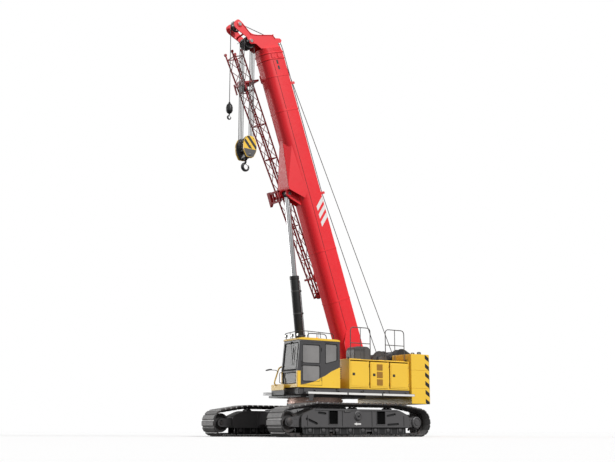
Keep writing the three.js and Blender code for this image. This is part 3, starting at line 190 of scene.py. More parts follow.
def painted(name, color, rough=0.34, coat=0.35, dust=0.12, worn=0.5, peel=0.12):
    """Painted plate: faint mottling, orange peel, dust on what faces up, worn corners."""
    n = Nodes(name)
    mottle = n.ramp(n.noise(0.9, 4), 0.35, 0.68)
    tint = n.mix(mottle, shade(color, 0.97), shade(color, 1.02))
    streak = n.ramp(n.noise(5.0, 5, 0.6, stretch=(1, 1, 0.22)), 0.52, 0.78, 0, 0.35 * dust)
    soiled = n.mix(streak, tint, tuple(0.55 * c + 0.05 for c in color))
    normal = n.node("ShaderNodeSeparateXYZ")
    n.link(n.node("ShaderNodeNewGeometry").outputs["Normal"], normal.inputs["Vector"])
    upward = n.ramp(normal.outputs["Z"], 0.55, 0.98)
    settled = n.math("MULTIPLY", upward, n.ramp(n.noise(3.5, 5), 0.3, 0.75, 0.2 * dust, 1.6 * dust))
    dusty = n.mix(settled, soiled, (0.52, 0.47, 0.40))
    corner = n.ramp(n.node("ShaderNodeNewGeometry").outputs["Pointiness"], 0.53, 0.62, 0, worn)
    rubbed = n.math("MULTIPLY", corner, n.ramp(n.noise(9.0, 6, 0.7), 0.5, 0.72))
    n.drive("Base Color", n.mix(rubbed, dusty, tuple(0.6 * c + 0.12 for c in color)))
    n.drive("Roughness", n.ramp(n.noise(14.0, 4), 0.3, 0.75, rough - 0.05, rough + 0.12))
    n.drive("Normal", n.bump(n.noise(220.0, 2), peel, 0.0008))
    n.set("Coat Weight", coat)
    n.set("Coat Roughness", 0.12)
    return n.material


def bare(name, color, rough, metal, grain, stretch=(1, 1, 1), vary=0.25, rust=0.0,
         rust_color=(0.28, 0.11, 0.05)):
    """Bare or blackened metal: grain along one way, patches of rust."""
    n = Nodes(name)
    tone = n.ramp(n.noise(grain, 5, 0.6, stretch=stretch), 0.3, 0.72)
    metal_color = n.mix(tone, shade(color, 1 - vary), shade(color, 1 + vary))
    patch = n.ramp(n.noise(6.0, 6, 0.7), 0.46, 0.66, 0, rust)
    n.drive("Base Color", n.mix(patch, metal_color, rust_color))
    n.drive("Roughness", n.ramp(n.noise(grain * 2, 4), 0.3, 0.7, rough - 0.07, rough + 0.1))
    n.drive("Normal", n.bump(n.noise(grain * 6, 3, stretch=stretch), 0.18, 0.002))
    n.set("Metallic", metal)
    return n.material


def twisted(name, color, axis, turns):
    """Wire rope: strands that wind round it as slanting ridges, its colour darker in the grooves and lighter
    on the crowns as painted shade and highlight.
    """
    n = Nodes(name)
    wave = n.node("ShaderNodeTexWave", wave_type="BANDS", bands_direction="DIAGONAL")
    mapping = n.node("ShaderNodeMapping")
    mapping.inputs["Scale"].default_value = tuple(0.45 if i == axis else 1.0 for i in range(3))
    n.link(n.coordinates, mapping.inputs["Vector"])
    n.link(mapping.outputs["Vector"], wave.inputs["Vector"])
    wave.inputs["Scale"].default_value = turns
    ridge = wave.outputs["Fac"]
    # painted shade in the grooves between the strands, painted highlight on their crowns
    n.drive("Base Color", n.mix(ridge, shade(color, 0.55), shade(color, 1.15)))
    n.drive("Roughness", n.ramp(n.noise(40.0), 0.3, 0.7, 0.32, 0.5))
    n.drive("Normal", n.bump(ridge, 0.7, 0.004))
    n.set("Metallic", 0.2)
    return n.material


def glass(name, color, alpha, specular=0.7, coat=0.6):
    """Window glass with a faint film of dust."""
    n = Nodes(name)
    film = n.ramp(n.noise(1.6, 4), 0.3, 0.75)
    n.drive("Base Color", n.mix(film, shade(color, 0.88), shade(color, 1.12)))
    n.drive("Roughness", n.ramp(n.noise(7.0, 4), 0.35, 0.8, 0.03, 0.10))
    n.set("Alpha", alpha)
    n.set("Specular IOR Level", specular)
    n.set("Coat Weight", coat)
    n.set("Coat Roughness", 0.02)
    return n.material


def rubber(name, color, rough=0.7, grain=90.0, specular=0.5):
    """Rubber and moulded plastic: matt, finely grained."""
    n = Nodes(name)
    n.set("Specular IOR Level", specular)
    n.drive("Base Color", n.mix(n.ramp(n.noise(7.0, 5), 0.3, 0.7), shade(color, 0.8), shade(color, 1.25)))
    n.drive("Roughness", n.ramp(n.noise(25.0, 4), 0.3, 0.7, rough - 0.08, rough + 0.1))
    n.drive("Normal", n.bump(n.noise(grain, 3), 0.25, 0.0015))
    return n.material


def woven(name, color):
    """Seat cloth: a fine plain weave with some nap, its raised threads painted lighter as a highlight."""
    n = Nodes(name)
    ridges = []
    for direction in ("X", "Y", "Z"):
        wave = n.node("ShaderNodeTexWave", wave_type="BANDS", bands_direction=direction)
        wave.inputs["Scale"].default_value = 160.0
        wave.inputs["Distortion"].default_value = 0.6
        n.link(n.coordinates, wave.inputs["Vector"])
        ridges.append(wave.outputs["Fac"])
    weave = n.math("MULTIPLY", n.math("MULTIPLY", ridges[0], ridges[1]), ridges[2])
    cloth = n.mix(n.ramp(n.noise(30.0, 4), 0.3, 0.7), shade(color, 0.8), shade(color, 1.3))
    # painted highlight: the raised threads of the weave are made lighter
    n.drive("Base Color", n.mix(weave, cloth, shade(color, 2.2)))
    n.drive("Roughness", n.ramp(n.noise(60.0), 0.3, 0.7, 0.82, 0.95))
    n.drive("Normal", n.bump(weave, 0.5, 0.0015))
    n.set("Sheen Weight", 0.35)
    n.set("Sheen Roughness", 0.5)
    return n.material


def glowing(name, color, strength):
    """A lamp's lens, faceted and faintly lit, each facet painted darker in its hollow as shade."""
    n = Nodes(name)
    lens = n.node("ShaderNodeTexVoronoi")
    lens.inputs["Scale"].default_value = 70.0
    n.link(n.coordinates, lens.inputs["Vector"])
    n.drive("Normal", n.bump(lens.outputs["Distance"], 0.5, 0.002))
    # painted shade: each facet darker in its hollow, lighter at its raised rim
    n.drive("Base Color", n.mix(n.ramp(lens.outputs["Distance"], 0, 0.6), shade(color, 0.75), color))
    n.set("Roughness", 0.12)
    n.set("Emission Color", (*color, 1))
    n.set("Emission Strength", strength)
    n.set("Coat Weight", 0.8)
    return n.material


MATERIALS = {
    "yellow": painted("crane_yellow", (1.0, 0.62, 0.055), rough=0.32, coat=0.3, dust=0.08, worn=0.25),
    # a darker copy of the crane yellow: painted shade for the louvres of the left housing's grilles
    "yellow_in_shade": painted("louvre_yellow_painted_shade", (0.42, 0.20, 0.012), rough=0.5, coat=0.1),
    "red": painted("crane_red", (0.88, 0.014, 0.024), rough=0.42, coat=0.10, dust=0.04, worn=0.2,
                   peel=0.05),
    # a darker copy of the crane red: painted shade for the jib and its brackets on the boom's far side
    "red_in_shade": painted("jib_red_painted_shade", (0.42, 0.014, 0.020), rough=0.42, coat=0.2, worn=0.3),
    "charcoal": painted("charcoal_paint", (0.062, 0.060, 0.062), rough=0.42, coat=0.25, dust=0.10),
    "grey": painted("frame_grey", (0.083, 0.080, 0.082), rough=0.46, coat=0.15, dust=0.16),
    "black": painted("black_paint", (0.012, 0.012, 0.013), rough=0.45, coat=0.2, dust=0.05, worn=0.2),
    "white": painted("white_paint", (0.86, 0.85, 0.83), rough=0.4, coat=0.2, dust=0.08, worn=0.1),
    "steel": bare("track_steel", (0.075, 0.073, 0.074), 0.5, 0.55, 18.0, rust=0.10),
    "pad": bare("polished_pad_steel", (0.24, 0.236, 0.233), 0.42, 0.35, 8.0, vary=0.14, rust=0.04),
    "ring": bare("ring_steel", (0.86, 0.60, 0.52), 0.42, 0.75, 20.0, rust=0.10,
                 rust_color=(0.72, 0.40, 0.30)),
    "chrome": bare("chrome_rod", (0.62, 0.62, 0.63), 0.16, 1.0, 60.0, stretch=(1, 1, 0.05), vary=0.05),
    "zinc": bare("zinc_steel", (0.20, 0.195, 0.19), 0.42, 0.75, 40.0, vary=0.15),
    "rope": twisted("wire_rope", (0.12, 0.12, 0.118), 2, 42.0),
    "rope_along": twisted("wire_rope_along", (0.12, 0.12, 0.118), 0, 42.0),
    "rubber": rubber("black_rubber", (0.018, 0.018, 0.019)),
    "grip": rubber("ribbed_mat", (0.035, 0.035, 0.036), 0.85, 160.0),
    "lining": rubber("cab_lining", (0.13, 0.13, 0.135), 0.75, 120.0),
    "cloth": woven("seat_cloth", (0.045, 0.046, 0.052)),
    "glass": glass("grey_glass", (0.30, 0.29, 0.285), 0.80),
    # a darker, less glossy copy of the glass for the windscreen and foot window: painted shade set against
    # the light they catch
    "screen": glass("front_glass_painted_shade", (0.15, 0.148, 0.144), 0.84, specular=0.3, coat=0.1),
    # near-black, unreflecting sheets: painted shade inside openings
    "shade_black": rubber("recess_painted_shade", (0.004, 0.004, 0.004), 0.9, specular=0.05),
    "lamp": glowing("lamp_glass", (0.95, 0.93, 0.85), 0.4),
    "amber": glowing("amber_glass", (1.0, 0.35, 0.03), 0.5),
    "tail": glowing("red_glass", (0.8, 0.03, 0.02), 0.3),
}

# The record's finishes, each with its materials; the first is its usual one
FINISHES = {
    "yellow_paint": ("yellow", "yellow_in_shade"),
    "red_paint": ("red", "red_in_shade"),
    "grey_paint": ("grey", "white"),
    "dark_paint": ("charcoal", "black", "rubber", "grip", "lining", "shade_black"),
    "track_steel": ("steel", "pad"),
    "ring_steel": ("ring",),
    "chrome": ("chrome",),
    "rope_steel": ("rope", "rope_along", "zinc"),
    "seat_fabric": ("cloth",),
    "tinted_glass": ("glass", "screen", "lamp", "amber", "tail"),
}

# ---------------------------------------------------------------- shapes

AHEAD, ACROSS, UP = (1, 0, 0), (0, 1, 0), (0, 0, 1)


def arc_points(x, y, radius, start, end, steps):
    """Points round a centre, angles in degrees."""
    spread = [radians(start + (end - start) * i / steps) for i in range(steps + 1)]
    return [(x + radius * cos(a), y + radius * sin(a)) for a in spread]


def circle(x, y, radius, steps=24):
    return arc_points(x, y, radius, 0, 360, steps)[:-1]


def rectangle(x0, x1, y0, y1):
    return [(x0, y0), (x1, y0), (x1, y1), (x0, y1)]


def rounded(outline, radius, steps=4):
    """The outline with each corner drawn as an arc; radius is one number or one for each corner."""
    count = len(outline)
    result = []
    for i, corner in enumerate(outline):
        r = radius[i] if isinstance(radius, (list, tuple)) else radius
        here = Vector(corner)
        before = Vector(outline[i - 1]) - here
        after = Vector(outline[(i + 1) % count]) - here
        reach = min(r, before.length * 0.49, after.length * 0.49)
        if reach <= 1e-6:
            result.append(tuple(here))
            continue
        a = here + before.normalized() * reach
        b = here + after.normalized() * reach
        for k in range(steps + 1):
            t = k / steps
            result.append(tuple(a * (1 - t) ** 2 + here * 2 * t * (1 - t) + b * t * t))
    return result


def soft_rectangle(x0, x1, y0, y1, radius, steps=4):
    return rounded(rectangle(x0, x1, y0, y1), radius, steps)


def clipped(outline, a, b, c):
    """The part of a convex outline where a x + b y <= c."""
    result = []
    for i, here in enumerate(outline):
        there = outline[(i + 1) % len(outline)]
        d0, d1 = a * here[0] + b * here[1] - c, a * there[0] + b * there[1] - c
        if d0 <= 0:
            result.append(here)
        if d0 * d1 < 0:
            t = d0 / (d0 - d1)
            result.append((here[0] + t * (there[0] - here[0]), here[1] + t * (there[1] - here[1])))
    return result


def stripe(outline, slope, low, high):
    """A band of a convex outline that lies between two parallel lines x + slope y = low and = high."""
    return clipped(clipped(outline, 1, slope, high), -1, -slope, -low)


def bent(path, radius, steps=5):
    """An open path in space with its inner corners rounded."""
    points = [Vector(p) for p in path]
    result = [points[0]]
    for before, here, after in zip(points, points[1:], points[2:]):
        back, ahead = before - here, after - here
        reach = min(radius, back.length * 0.49, ahead.length * 0.49)
        a = here + back.normalized() * reach
        b = here + ahead.normalized() * reach
        for k in range(steps + 1):
            t = k / steps
            result.append(a * (1 - t) ** 2 + here * 2 * t * (1 - t) + b * t * t)
    result.append(points[-1])
    return result


def across(axis, pair, level):
    """A point of an outline in the plane square to axis: x takes (y, z), y takes (x, z), z takes (x, y)."""
    a, b = pair
    return {"x": (level, a, b), "y": (a, level, b), "z": (a, b, level)}[axis]


def symmetric(half):
    """A profile's lower half, from its end to its middle, and the same turned over."""
    return half + [(radius, -height) for radius, height in reversed(half) if height]


def around(axis, count):
    """Directions evenly spaced round an axis, square to it."""
    helper = Vector((0, 0, 1)) if abs(axis.z) < 0.9 else Vector((1, 0, 0))
    side = axis.cross(helper).normalized()
    other = axis.cross(side)
    return [cos(a) * side + sin(a) * other for a in (2 * pi * k / count for k in range(count))]


def soften(piece, width, segments):
    """Rounds a piece's sharp edges."""
    edge = piece.modifiers.new("edges", "BEVEL")
    edge.width = width
    edge.segments = segments
    edge.limit_method = "ANGLE"
    edge.angle_limit = BEVEL_ANGLE
    edge.harden_normals = True


AXIS_GAP = 1e-4  # a lathe's profile stays this far off its axis
BEVEL_ANGLE = radians(38)  # edges that turn more than this are rounded


class Kit:
    """Gathers plain shapes into one mesh, each with its own material."""

    def __init__(self, frame_matrix=CRANE):
        self.base = frame_matrix
        self.points = []
        self.faces = []
        self.slots = []
        self.names = []

    def add(self, points, faces, material):
        if material not in self.names:
            self.names.append(material)
        start = len(self.points)
        self.points.extend(self.base @ Vector(p) for p in points)
        self.faces.extend([start + i for i in face] for face in faces)
        self.slots.extend([self.names.index(material)] * len(faces))

    def prism(self, outline, low, high, axis, material, holes=(), inset=0.0):
        """An outline drawn out between two levels, with holes; inset draws both ends in as a chamfer."""
        low, high = sorted((low, high))
        loops = [list(outline)] + [list(hole) for hole in holes]
        points, faces = [], []
        flat = [p for loop in loops for p in loop]
        if inset:
            centre = Vector((sum(p[0] for p in outline), sum(p[1] for p in outline))) / len(outline)
            drawn = [tuple(centre + (Vector(p) - centre) * (1 - inset / (Vector(p) - centre).length))
                     for p in outline]
            levels = [(low, drawn), (low + inset, outline), (high - inset, outline), (high, drawn)]
        else:
            levels = [(low, flat), (high, flat)]
        for level, loop in levels:
            points.extend(across(axis, p, level) for p in loop)
        size = len(levels[0][1])
        for k in range(len(levels) - 1):
            start = 0
            for loop in loops:
                n = len(loop)
                for i in range(n):
                    j = (i + 1) % n
                    a, b = k * size + start + i, k * size + start + j
                    faces.append([a, b, b + size, a + size])
                start += n
        last = (len(levels) - 1) * size
        if holes:
            triangles = tessellate_polygon([[Vector((*p, 0)) for p in loop] for loop in loops])
            faces.extend([list(t) for t in triangles])
            faces.extend([[last + i for i in t] for t in triangles])
        else:
            faces.append(list(range(size)))
            faces.append([last + i for i in range(size)])
        self.add(points, faces, material)

    def box(self, x0, x1, y0, y1, z0, z1, material):
        self.prism(rectangle(*sorted((x0, x1)), *sorted((y0, y1))), z0, z1, "z", material)

    def shell(self, outer, inner, low, high, axis, material):
        """A tube between two outlines of as many points each."""
        n = len(outer)
        points = [across(axis, p, level) for level in (low, high) for loop in (outer, inner) for p in loop]
        faces = []
        for i in range(n):
            j = (i + 1) % n
            faces.append([i, j, j + 2 * n, i + 2 * n])
            faces.append([n + i, n + j, n + j + 2 * n, n + i + 2 * n])
            faces.append([i, j, n + j, n + i])
            faces.append([2 * n + i, 2 * n + j, 3 * n + j, 3 * n + i])
        self.add(points, faces, material)

    def rings(self, rings, material, closed=False):
        """A skin over rings of points, closed at both ends, or joined end to start."""
        n = len(rings[0])
        points = [p for ring in rings for p in ring]
        faces = []
        for k in range(len(rings) - (0 if closed else 1)):
            a0, b0 = k * n, ((k + 1) % len(rings)) * n
            for i in range(n):
                j = (i + 1) % n
                faces.append([a0 + i, a0 + j, b0 + j, b0 + i])
        if not closed:
            faces.append(list(range(n)))
            faces.append([(len(rings) - 1) * n + i for i in range(n)])
        self.add(points, faces, material)

    def tube(self, path, radius, material, sides=8, closed=False):
        """A round tube along a path; radius is one number, or one for each point."""
        points = [Vector(p) for p in path]
        count = len(points)
        rings = []
        side = None
        for i, here in enumerate(points):
            if closed:
                along = (points[(i + 1) % count] - points[i - 1]).normalized()
            else:
                along = (points[min(i + 1, count - 1)] - points[max(i - 1, 0)]).normalized()
            if side is None:
                helper = Vector((0, 1, 0)) if abs(along.y) < 0.9 else Vector((1, 0, 0))
                side = along.cross(helper).normalized()
            side = (side - along * side.dot(along)).normalized()
            other = along.cross(side)
            r = radius[i] if isinstance(radius, (list, tuple)) else radius
            rings.append([here + r * (cos(a) * side + sin(a) * other)
                          for a in (2 * pi * k / sides for k in range(sides))])
        self.rings(rings, material, closed)

    def rod(self, a, b, radius, material, sides=12):
        self.tube([a, b], radius, material, sides)

    def pin(self, x, z, reach, radius, material, sides=12):
        """A rod straight across, as far to the left as to the right."""
        self.rod((x, -reach, z), (x, reach, z), radius, material, sides)

    def lathe(self, profile, at, axis, material, sides=32, ring=False):
        """A (radius, height) profile turned about an axis through a point."""
        at, axis = Vector(at), Vector(axis).normalized()
        rings = [[at + axis * h + out * max(r, AXIS_GAP) for r, h in profile]
                 for out in around(axis, sides)]
        n = len(profile)
        points = [p for r in rings for p in r]
        faces = []
        for k in range(sides):
            a0, b0 = k * n, ((k + 1) % sides) * n
            for i in range(n if ring else n - 1):
                j = (i + 1) % n
                faces.append([a0 + i, b0 + i, b0 + j, a0 + j])
        if not ring:
            faces.append([k * n for k in range(sides)])
            faces.append([k * n + n - 1 for k in range(sides)])
        self.add(points, faces, material)

    def turned(self, rim, at, axis, material, sides=32):
        """A solid with flat ends turned about an axis, from the (radius, height) points of its rim."""
        self.lathe([(0, rim[0][1]), *rim, (0, rim[-1][1])], at, axis, material, sides)

    def bolt(self, at, axis, radius, height, material="zinc"):
        self.turned([(radius, 0), (radius, height * 0.8), (radius * 0.85, height)], at, axis, material, 6)

    def bolt_circle(self, at, axis, circle_radius, count, radius, height, material="zinc"):
        at, axis = Vector(at), Vector(axis).normalized()
        for out in around(axis, count):
            self.bolt(at + circle_radius * out, axis, radius, height, material)

    def piece(self, name, body, replaces=(), bevel=0.0, smooth=32, segments=2):
        mesh = bpy.data.meshes.new(name)
        mesh.from_pydata(self.points, [], self.faces)
        work = bmesh.new()
        work.from_mesh(mesh)
        for face, slot in zip(work.faces, self.slots):
            face.material_index = slot
        bmesh.ops.recalc_face_normals(work, faces=work.faces)
        work.to_mesh(mesh)
        work.free()
        for used in self.names:
            mesh.materials.append(MATERIALS[used])
        mesh.shade_smooth()
        mesh.set_sharp_from_angle(angle=radians(smooth))
        piece = bpy.data.objects.new(name, mesh)
        bpy.context.scene.collection.objects.link(piece)
        if bevel:
            soften(piece, bevel, segments)
        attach(piece, body)
        if replaces:
            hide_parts(*replaces)
        return piece


def both_sides(make):
    """Runs a maker for the left side and then for the right, with +1 and -1."""
    for side, sign in (("left", 1), ("right", -1)):
        make(side, sign)


def mirrored(sign):
    """The crane frame with its Y turned over for the right side."""
    return CRANE @ Matrix.Diagonal((1, sign, 1, 1))

# ---------------------------------------------------------------- crawler tracks

TRACK_Y = 2.144  # middle of a track
WHEEL_X = 2.655  # front and rear wheels, either way
END_RADIUS = 0.480
TRACK_TOP = 1.105
TOP_RUN = 3.440
TOP_BEND = 0.320
SHOES = 60
SHOE_HALF = 0.433
FRAME_HALF = 0.300
AXLE_Z = 0.480


def track_path():
    """Lines and arcs round the track, each as (kind, data, length)."""
    bend_x, bend_z = TOP_RUN / 2, TRACK_TOP - TOP_BEND
    reach = hypot(bend_x - WHEEL_X, bend_z - END_RADIUS)
    lean = atan2(bend_z - END_RADIUS, bend_x - WHEEL_X) - acos((END_RADIUS - TOP_BEND) / reach)
    arcs = [
        (WHEEL_X, END_RADIUS, END_RADIUS, -pi / 2, lean),
        (bend_x, bend_z, TOP_BEND, lean, pi / 2),
        (-bend_x, bend_z, TOP_BEND, pi / 2, pi - lean),
        (-WHEEL_X, END_RADIUS, END_RADIUS, pi - lean, 1.5 * pi),
    ]

    def end(arc, angle):
        return (arc[0] + arc[2] * cos(angle), arc[1] + arc[2] * sin(angle))

    path = []
    for i, arc in enumerate(arcs):
        before = arcs[i - 1]
        a, b = end(before, before[4]), end(arc, arc[3])
        path.append(("line", (a, b), hypot(b[0] - a[0], b[1] - a[1])))
        path.append(("arc", arc, arc[2] * (arc[4] - arc[3])))
    return path


PATH = track_path()
PATH_LENGTH = sum(part[2] for part in PATH)


def station(distance):
    """Place and heading on the track's outside."""
    rest = distance % PATH_LENGTH
    for kind, data, length in PATH:
        if rest <= length:
            break
        rest -= length
    share = rest / length
    if kind == "line":
        (x0, z0), (x1, z1) = data
        return Vector((x0 + (x1 - x0) * share, 0, z0 + (z1 - z0) * share)), Vector((x1 - x0, 0,
                z1 - z0)).normalized()
    x, z, r, start, stop = data
    angle = start + (stop - start) * share
    return Vector((x + r * cos(angle), 0, z + r * sin(angle))), Vector((-sin(angle), 0, cos(angle)))


def make_track(side, sign):
    kit = Kit(mirrored(sign))
    pitch = PATH_LENGTH / SHOES
    half = pitch / 2
    for i in range(SHOES):
        place, along = station((i + 0.5) * pitch)
        out = Vector((along.z, 0, -along.x))

        def at(t, n, y=0.0):
            return place + along * t + out * n + Vector((0, TRACK_Y + y, 0))

        # the pad: one broad flat face, its leading lip tucked under the next one
        section = [
            (-half * 1.00, -0.056), (half * 0.94, -0.056), (half * 0.95, -0.046), (half * 0.80, -0.040),
            (half * 0.72, -0.006), (half * 0.66, 0.0), (-half * 0.58, 0.0), (-half * 0.65, -0.006),
            (-half * 0.72, -0.042), (-half * 1.00, -0.048),
        ]
        rings = []
        for y, draw in ((-SHOE_HALF, 0.55), (-SHOE_HALF + 0.022, 1.0), (SHOE_HALF - 0.022, 1.0),
                        (SHOE_HALF, 0.55)):
            rings.append([at(t * (0.97 if draw < 1 else 1), -0.056 + (n + 0.056) * draw, y) for t,
                          n in section])
        kit.rings(rings[1:3], "pad")
        for end in (rings[:2], rings[2:]):
            kit.rings(end, "steel")
        for y in (-0.105, -0.065, 0.065, 0.105):
            kit.bolt(at(-half * 0.03, -0.006, y), out, 0.011, 0.006, "steel")
        # the chain under it: two links, a bush and its pin
        for y in (-0.092, 0.062):
            outline = []
            for t, n, r, start, stop in ((half * 0.62, -0.097, 0.037, -90, 90),
                                         (-half * 0.62, -0.097, 0.037, 90, 270)):
                outline += [(t + r * cos(radians(a)), n + r * sin(radians(a)))
                            for a in range(start, stop + 1, 36)]
            kit.rings([[at(t, n, y + dy) for t, n in outline] for dy in (0, 0.030)], "steel")
        pin = at(half, -0.097)
        kit.rod(pin - Vector((0, 0.112, 0)), pin + Vector((0, 0.112, 0)), 0.024, "steel", 8)
        kit.rod(pin - Vector((0, 0.062, 0)), pin + Vector((0, 0.062, 0)), 0.034, "steel", 10)
    kit.piece(f"{side}_track_chain", f"track_unit_{side}", (f"track_{side}",), smooth=25)


both_sides(make_track)

ARM_X, ARM_HALF_X, ARM_HALF_Z, ARM_Z = 1.000, 0.180, 0.215, 0.630
BEAM_END = 2.262
BEAM_LOW, BEAM_HIGH = 0.300, 0.905


def beam_outline(grow=0.0):
    corners = [
        (-BEAM_END - grow, BEAM_LOW - grow), (BEAM_END + grow, BEAM_LOW - grow),
        (BEAM_END + grow, BEAM_HIGH - 0.20), (BEAM_END - 0.50, BEAM_HIGH + grow),
        (-BEAM_END + 0.50, BEAM_HIGH + grow), (-BEAM_END - grow, BEAM_HIGH - 0.20),
    ]
    return rounded(corners, [0.04, 0.04, 0.14, 0.14, 0.14, 0.14], 5)


def slot_outline(x, z, length, width, tilt=0.0):
    turn = Matrix.Rotation(tilt, 2)
    ends = arc_points(length / 2 - width / 2, 0, width / 2, -90, 90, 6)
    ends += arc_points(-length / 2 + width / 2, 0, width / 2, 90, 270, 6)
    return [tuple(Vector((x, z)) + turn @ Vector(p)) for p in ends]


def make_track_frame(side, sign):
    kit = Kit(mirrored(sign))
    outer, inner = TRACK_Y + FRAME_HALF, TRACK_Y - FRAME_HALF
    # box beam: two side plates on a core, the axle arms' windows through the outer one
    windows = [rectangle(x - ARM_HALF_X, x + ARM_HALF_X, ARM_Z - ARM_HALF_Z, ARM_Z + ARM_HALF_Z)
               for x in (-ARM_X, ARM_X)]
    slots = [
        slot_outline(1.86, 0.50, 0.50, 0.085, 0.36), slot_outline(1.45, 0.76, 0.34, 0.075, 0.10),
        slot_outline(-1.45, 0.72, 0.42, 0.080, -0.16), slot_outline(-1.53, 0.41, 0.52, 0.075, -0.05),
    ]
    kit.prism(beam_outline(-0.012), inner + 0.03, outer - 0.075, "y", "grey")
    kit.prism(beam_outline(), outer - 0.045, outer, "y", "grey", holes=windows + slots)
    kit.prism(beam_outline(), inner, inner + 0.030, "y", "grey")
    # a black plate behind the outer one, seen through its windows and slots: painted shade
    kit.prism(beam_outline(-0.02), outer - 0.080, outer - 0.044, "y", "black")
    for x in (-ARM_X, ARM_X):
        kit.shell(
            soft_rectangle(x - ARM_HALF_X - 0.022, x + ARM_HALF_X + 0.022, ARM_Z - ARM_HALF_Z - 0.022,
                           ARM_Z + ARM_HALF_Z + 0.022, 0.03),
            soft_rectangle(x - ARM_HALF_X, x + ARM_HALF_X, ARM_Z - ARM_HALF_Z, ARM_Z + ARM_HALF_Z, 0.015),
            outer - 0.01, outer + 0.014, "y", "grey",
        )
        # a near-black sheet in each window: painted shade
        kit.prism(rectangle(x - ARM_HALF_X, x + ARM_HALF_X, ARM_Z - ARM_HALF_Z, ARM_Z + ARM_HALF_Z),
                  outer - 0.046, outer - 0.040, "y", "shade_black")
        # the arm that slides in the carbody, with its wear strips and end stop
        kit.box(x - ARM_HALF_X + 0.006, x + ARM_HALF_X - 0.006, 0.85, inner + 0.02,
                ARM_Z - ARM_HALF_Z + 0.006, ARM_Z + ARM_HALF_Z - 0.006, "grey")
        for dx in (-0.13, 0.13):
            kit.box(x + dx - 0.03, x + dx + 0.03, 1.25, inner - 0.02, ARM_Z + ARM_HALF_Z - 0.008,
                    ARM_Z + ARM_HALF_Z - 0.002, "zinc")
        kit.prism(soft_rectangle(x - 0.25, x + 0.25, ARM_Z - 0.28, ARM_Z + 0.27, 0.05), inner - 0.05, inner,
                  "y", "grey")
    # stiffening ribs, and a raised strip along the beam's top and bottom
    for x in (-2.02, -0.62, 0.62, 2.02):
        kit.prism(soft_rectangle(x - 0.013, x + 0.013, 0.34, 0.86 if abs(x) < 1 else 0.70, 0.008), outer,
                  outer + 0.022, "y", "grey")
    for z in (0.335, 0.865):
        reach = 2.15 if z < 0.5 else 1.72
        kit.prism(slot_outline(0, z, 2 * reach, 0.030), outer, outer + 0.018, "y", "grey")
    # the swivel boss between the windows
    kit.turned([(0.17, 0), (0.17, 0.022), (0.135, 0.034), (0.135, 0.058), (0.085, 0.062), (0.075, 0.046)],
               (-0.02, outer - 0.005, 0.685), ACROSS, "grey", 32)
    kit.bolt_circle((-0.02, outer + 0.050, 0.685), ACROSS, 0.110, 10, 0.012, 0.014, "black")
    kit.turned([(0.045, 0), (0.045, 0.018), (0.030, 0.026)], (-0.02, outer + 0.038, 0.685), ACROSS, "black",
               16)
    # arrow that shows the way forward
    arrow = [(-0.140, 0.398), (0.035, 0.398), (0.035, 0.372), (0.154, 0.421), (0.035, 0.470),
             (0.035, 0.444), (-0.140, 0.444)]
    kit.prism(arrow, outer, outer + 0.004, "y", "white")
    # lower rollers, with scalloped guards along both sides
    rollers = [(i - 3.5) * 0.540 for i in range(8)]
    for x in rollers:
        kit.turned(symmetric([(0.045, -0.118), (0.052, -0.108), (0.128, -0.108), (0.132, -0.098),
                              (0.132, -0.088), (0.104, -0.078), (0.100, -0.030), (0.062, -0.022)]),
                              (x, TRACK_Y, 0.240), ACROSS, "steel", 24)
        for y0 in (-0.165, 0.120):
            kit.prism(rounded([(x - 0.10, 0.20), (x + 0.10, 0.20), (x + 0.125, 0.315), (x - 0.125, 0.315)],
                              0.03), TRACK_Y + y0, TRACK_Y + y0 + 0.045, "y", "grey")
        for y, way in ((TRACK_Y + 0.165, 1), (TRACK_Y - 0.165, -1)):
            for dx in (-0.055, 0.055):
                kit.bolt((x + dx, y, 0.275), (0, way, 0), 0.013, 0.012)
            kit.turned([(0.034, 0), (0.034, 0.010), (0.020, 0.014)], (x, y, 0.235), (0, way, 0), "steel",
                       12)
    guard = [(-2.05, 0.315), (-2.05, 0.235)]
    for a, b in zip(rollers, rollers[1:]):
        middle_x = (a + b) / 2
        guard += [(middle_x - 0.15, 0.215), (middle_x - 0.10, 0.175), (middle_x + 0.10, 0.175),
                  (middle_x + 0.15, 0.215)]
    guard += [(2.05, 0.235), (2.05, 0.315)]
    for y0 in (-0.208, 0.184):
        kit.prism(guard, TRACK_Y + y0, TRACK_Y + y0 + 0.022, "y", "grey")
    for x0, x1 in ((-2.15, -0.70), (-0.42, 0.84), (1.10, 2.15)):
        for y0, way in ((-0.232, -1), (0.210, 1)):
            kit.prism(soft_rectangle(x0, x1, 0.082, 0.325, 0.04), TRACK_Y + y0, TRACK_Y + y0 + 0.020, "y",
                      "black")
            face = TRACK_Y + y0 + (0.020 if way > 0 else 0.0)
            for x in (x for x in rollers if x0 < x < x1):
                kit.turned([(0.070, 0), (0.070, 0.012), (0.050, 0.022)], (x, face, 0.225), (0, way, 0),
                           "grey", 18)
                for dx in (-0.13, 0.13):
                    kit.box(x + dx - 0.014, x + dx + 0.014, face, face + way * 0.014, 0.110, 0.300, "grey")
    # carrier rollers on their posts
    for x in (-1.5, 0.0, 1.5):
        kit.turned(symmetric([(0.075, -0.13), (0.075, -0.11), (0.059, -0.10)]), (x, TRACK_Y, 0.908), ACROSS,
                   "steel", 24)
        for y0 in (-0.20, 0.155):
            kit.prism(rounded([(x - 0.09, 0.86), (x + 0.09, 0.86), (x + 0.045, 0.955), (x - 0.045, 0.955)],
                              0.02), TRACK_Y + y0, TRACK_Y + y0 + 0.045, "y", "grey")
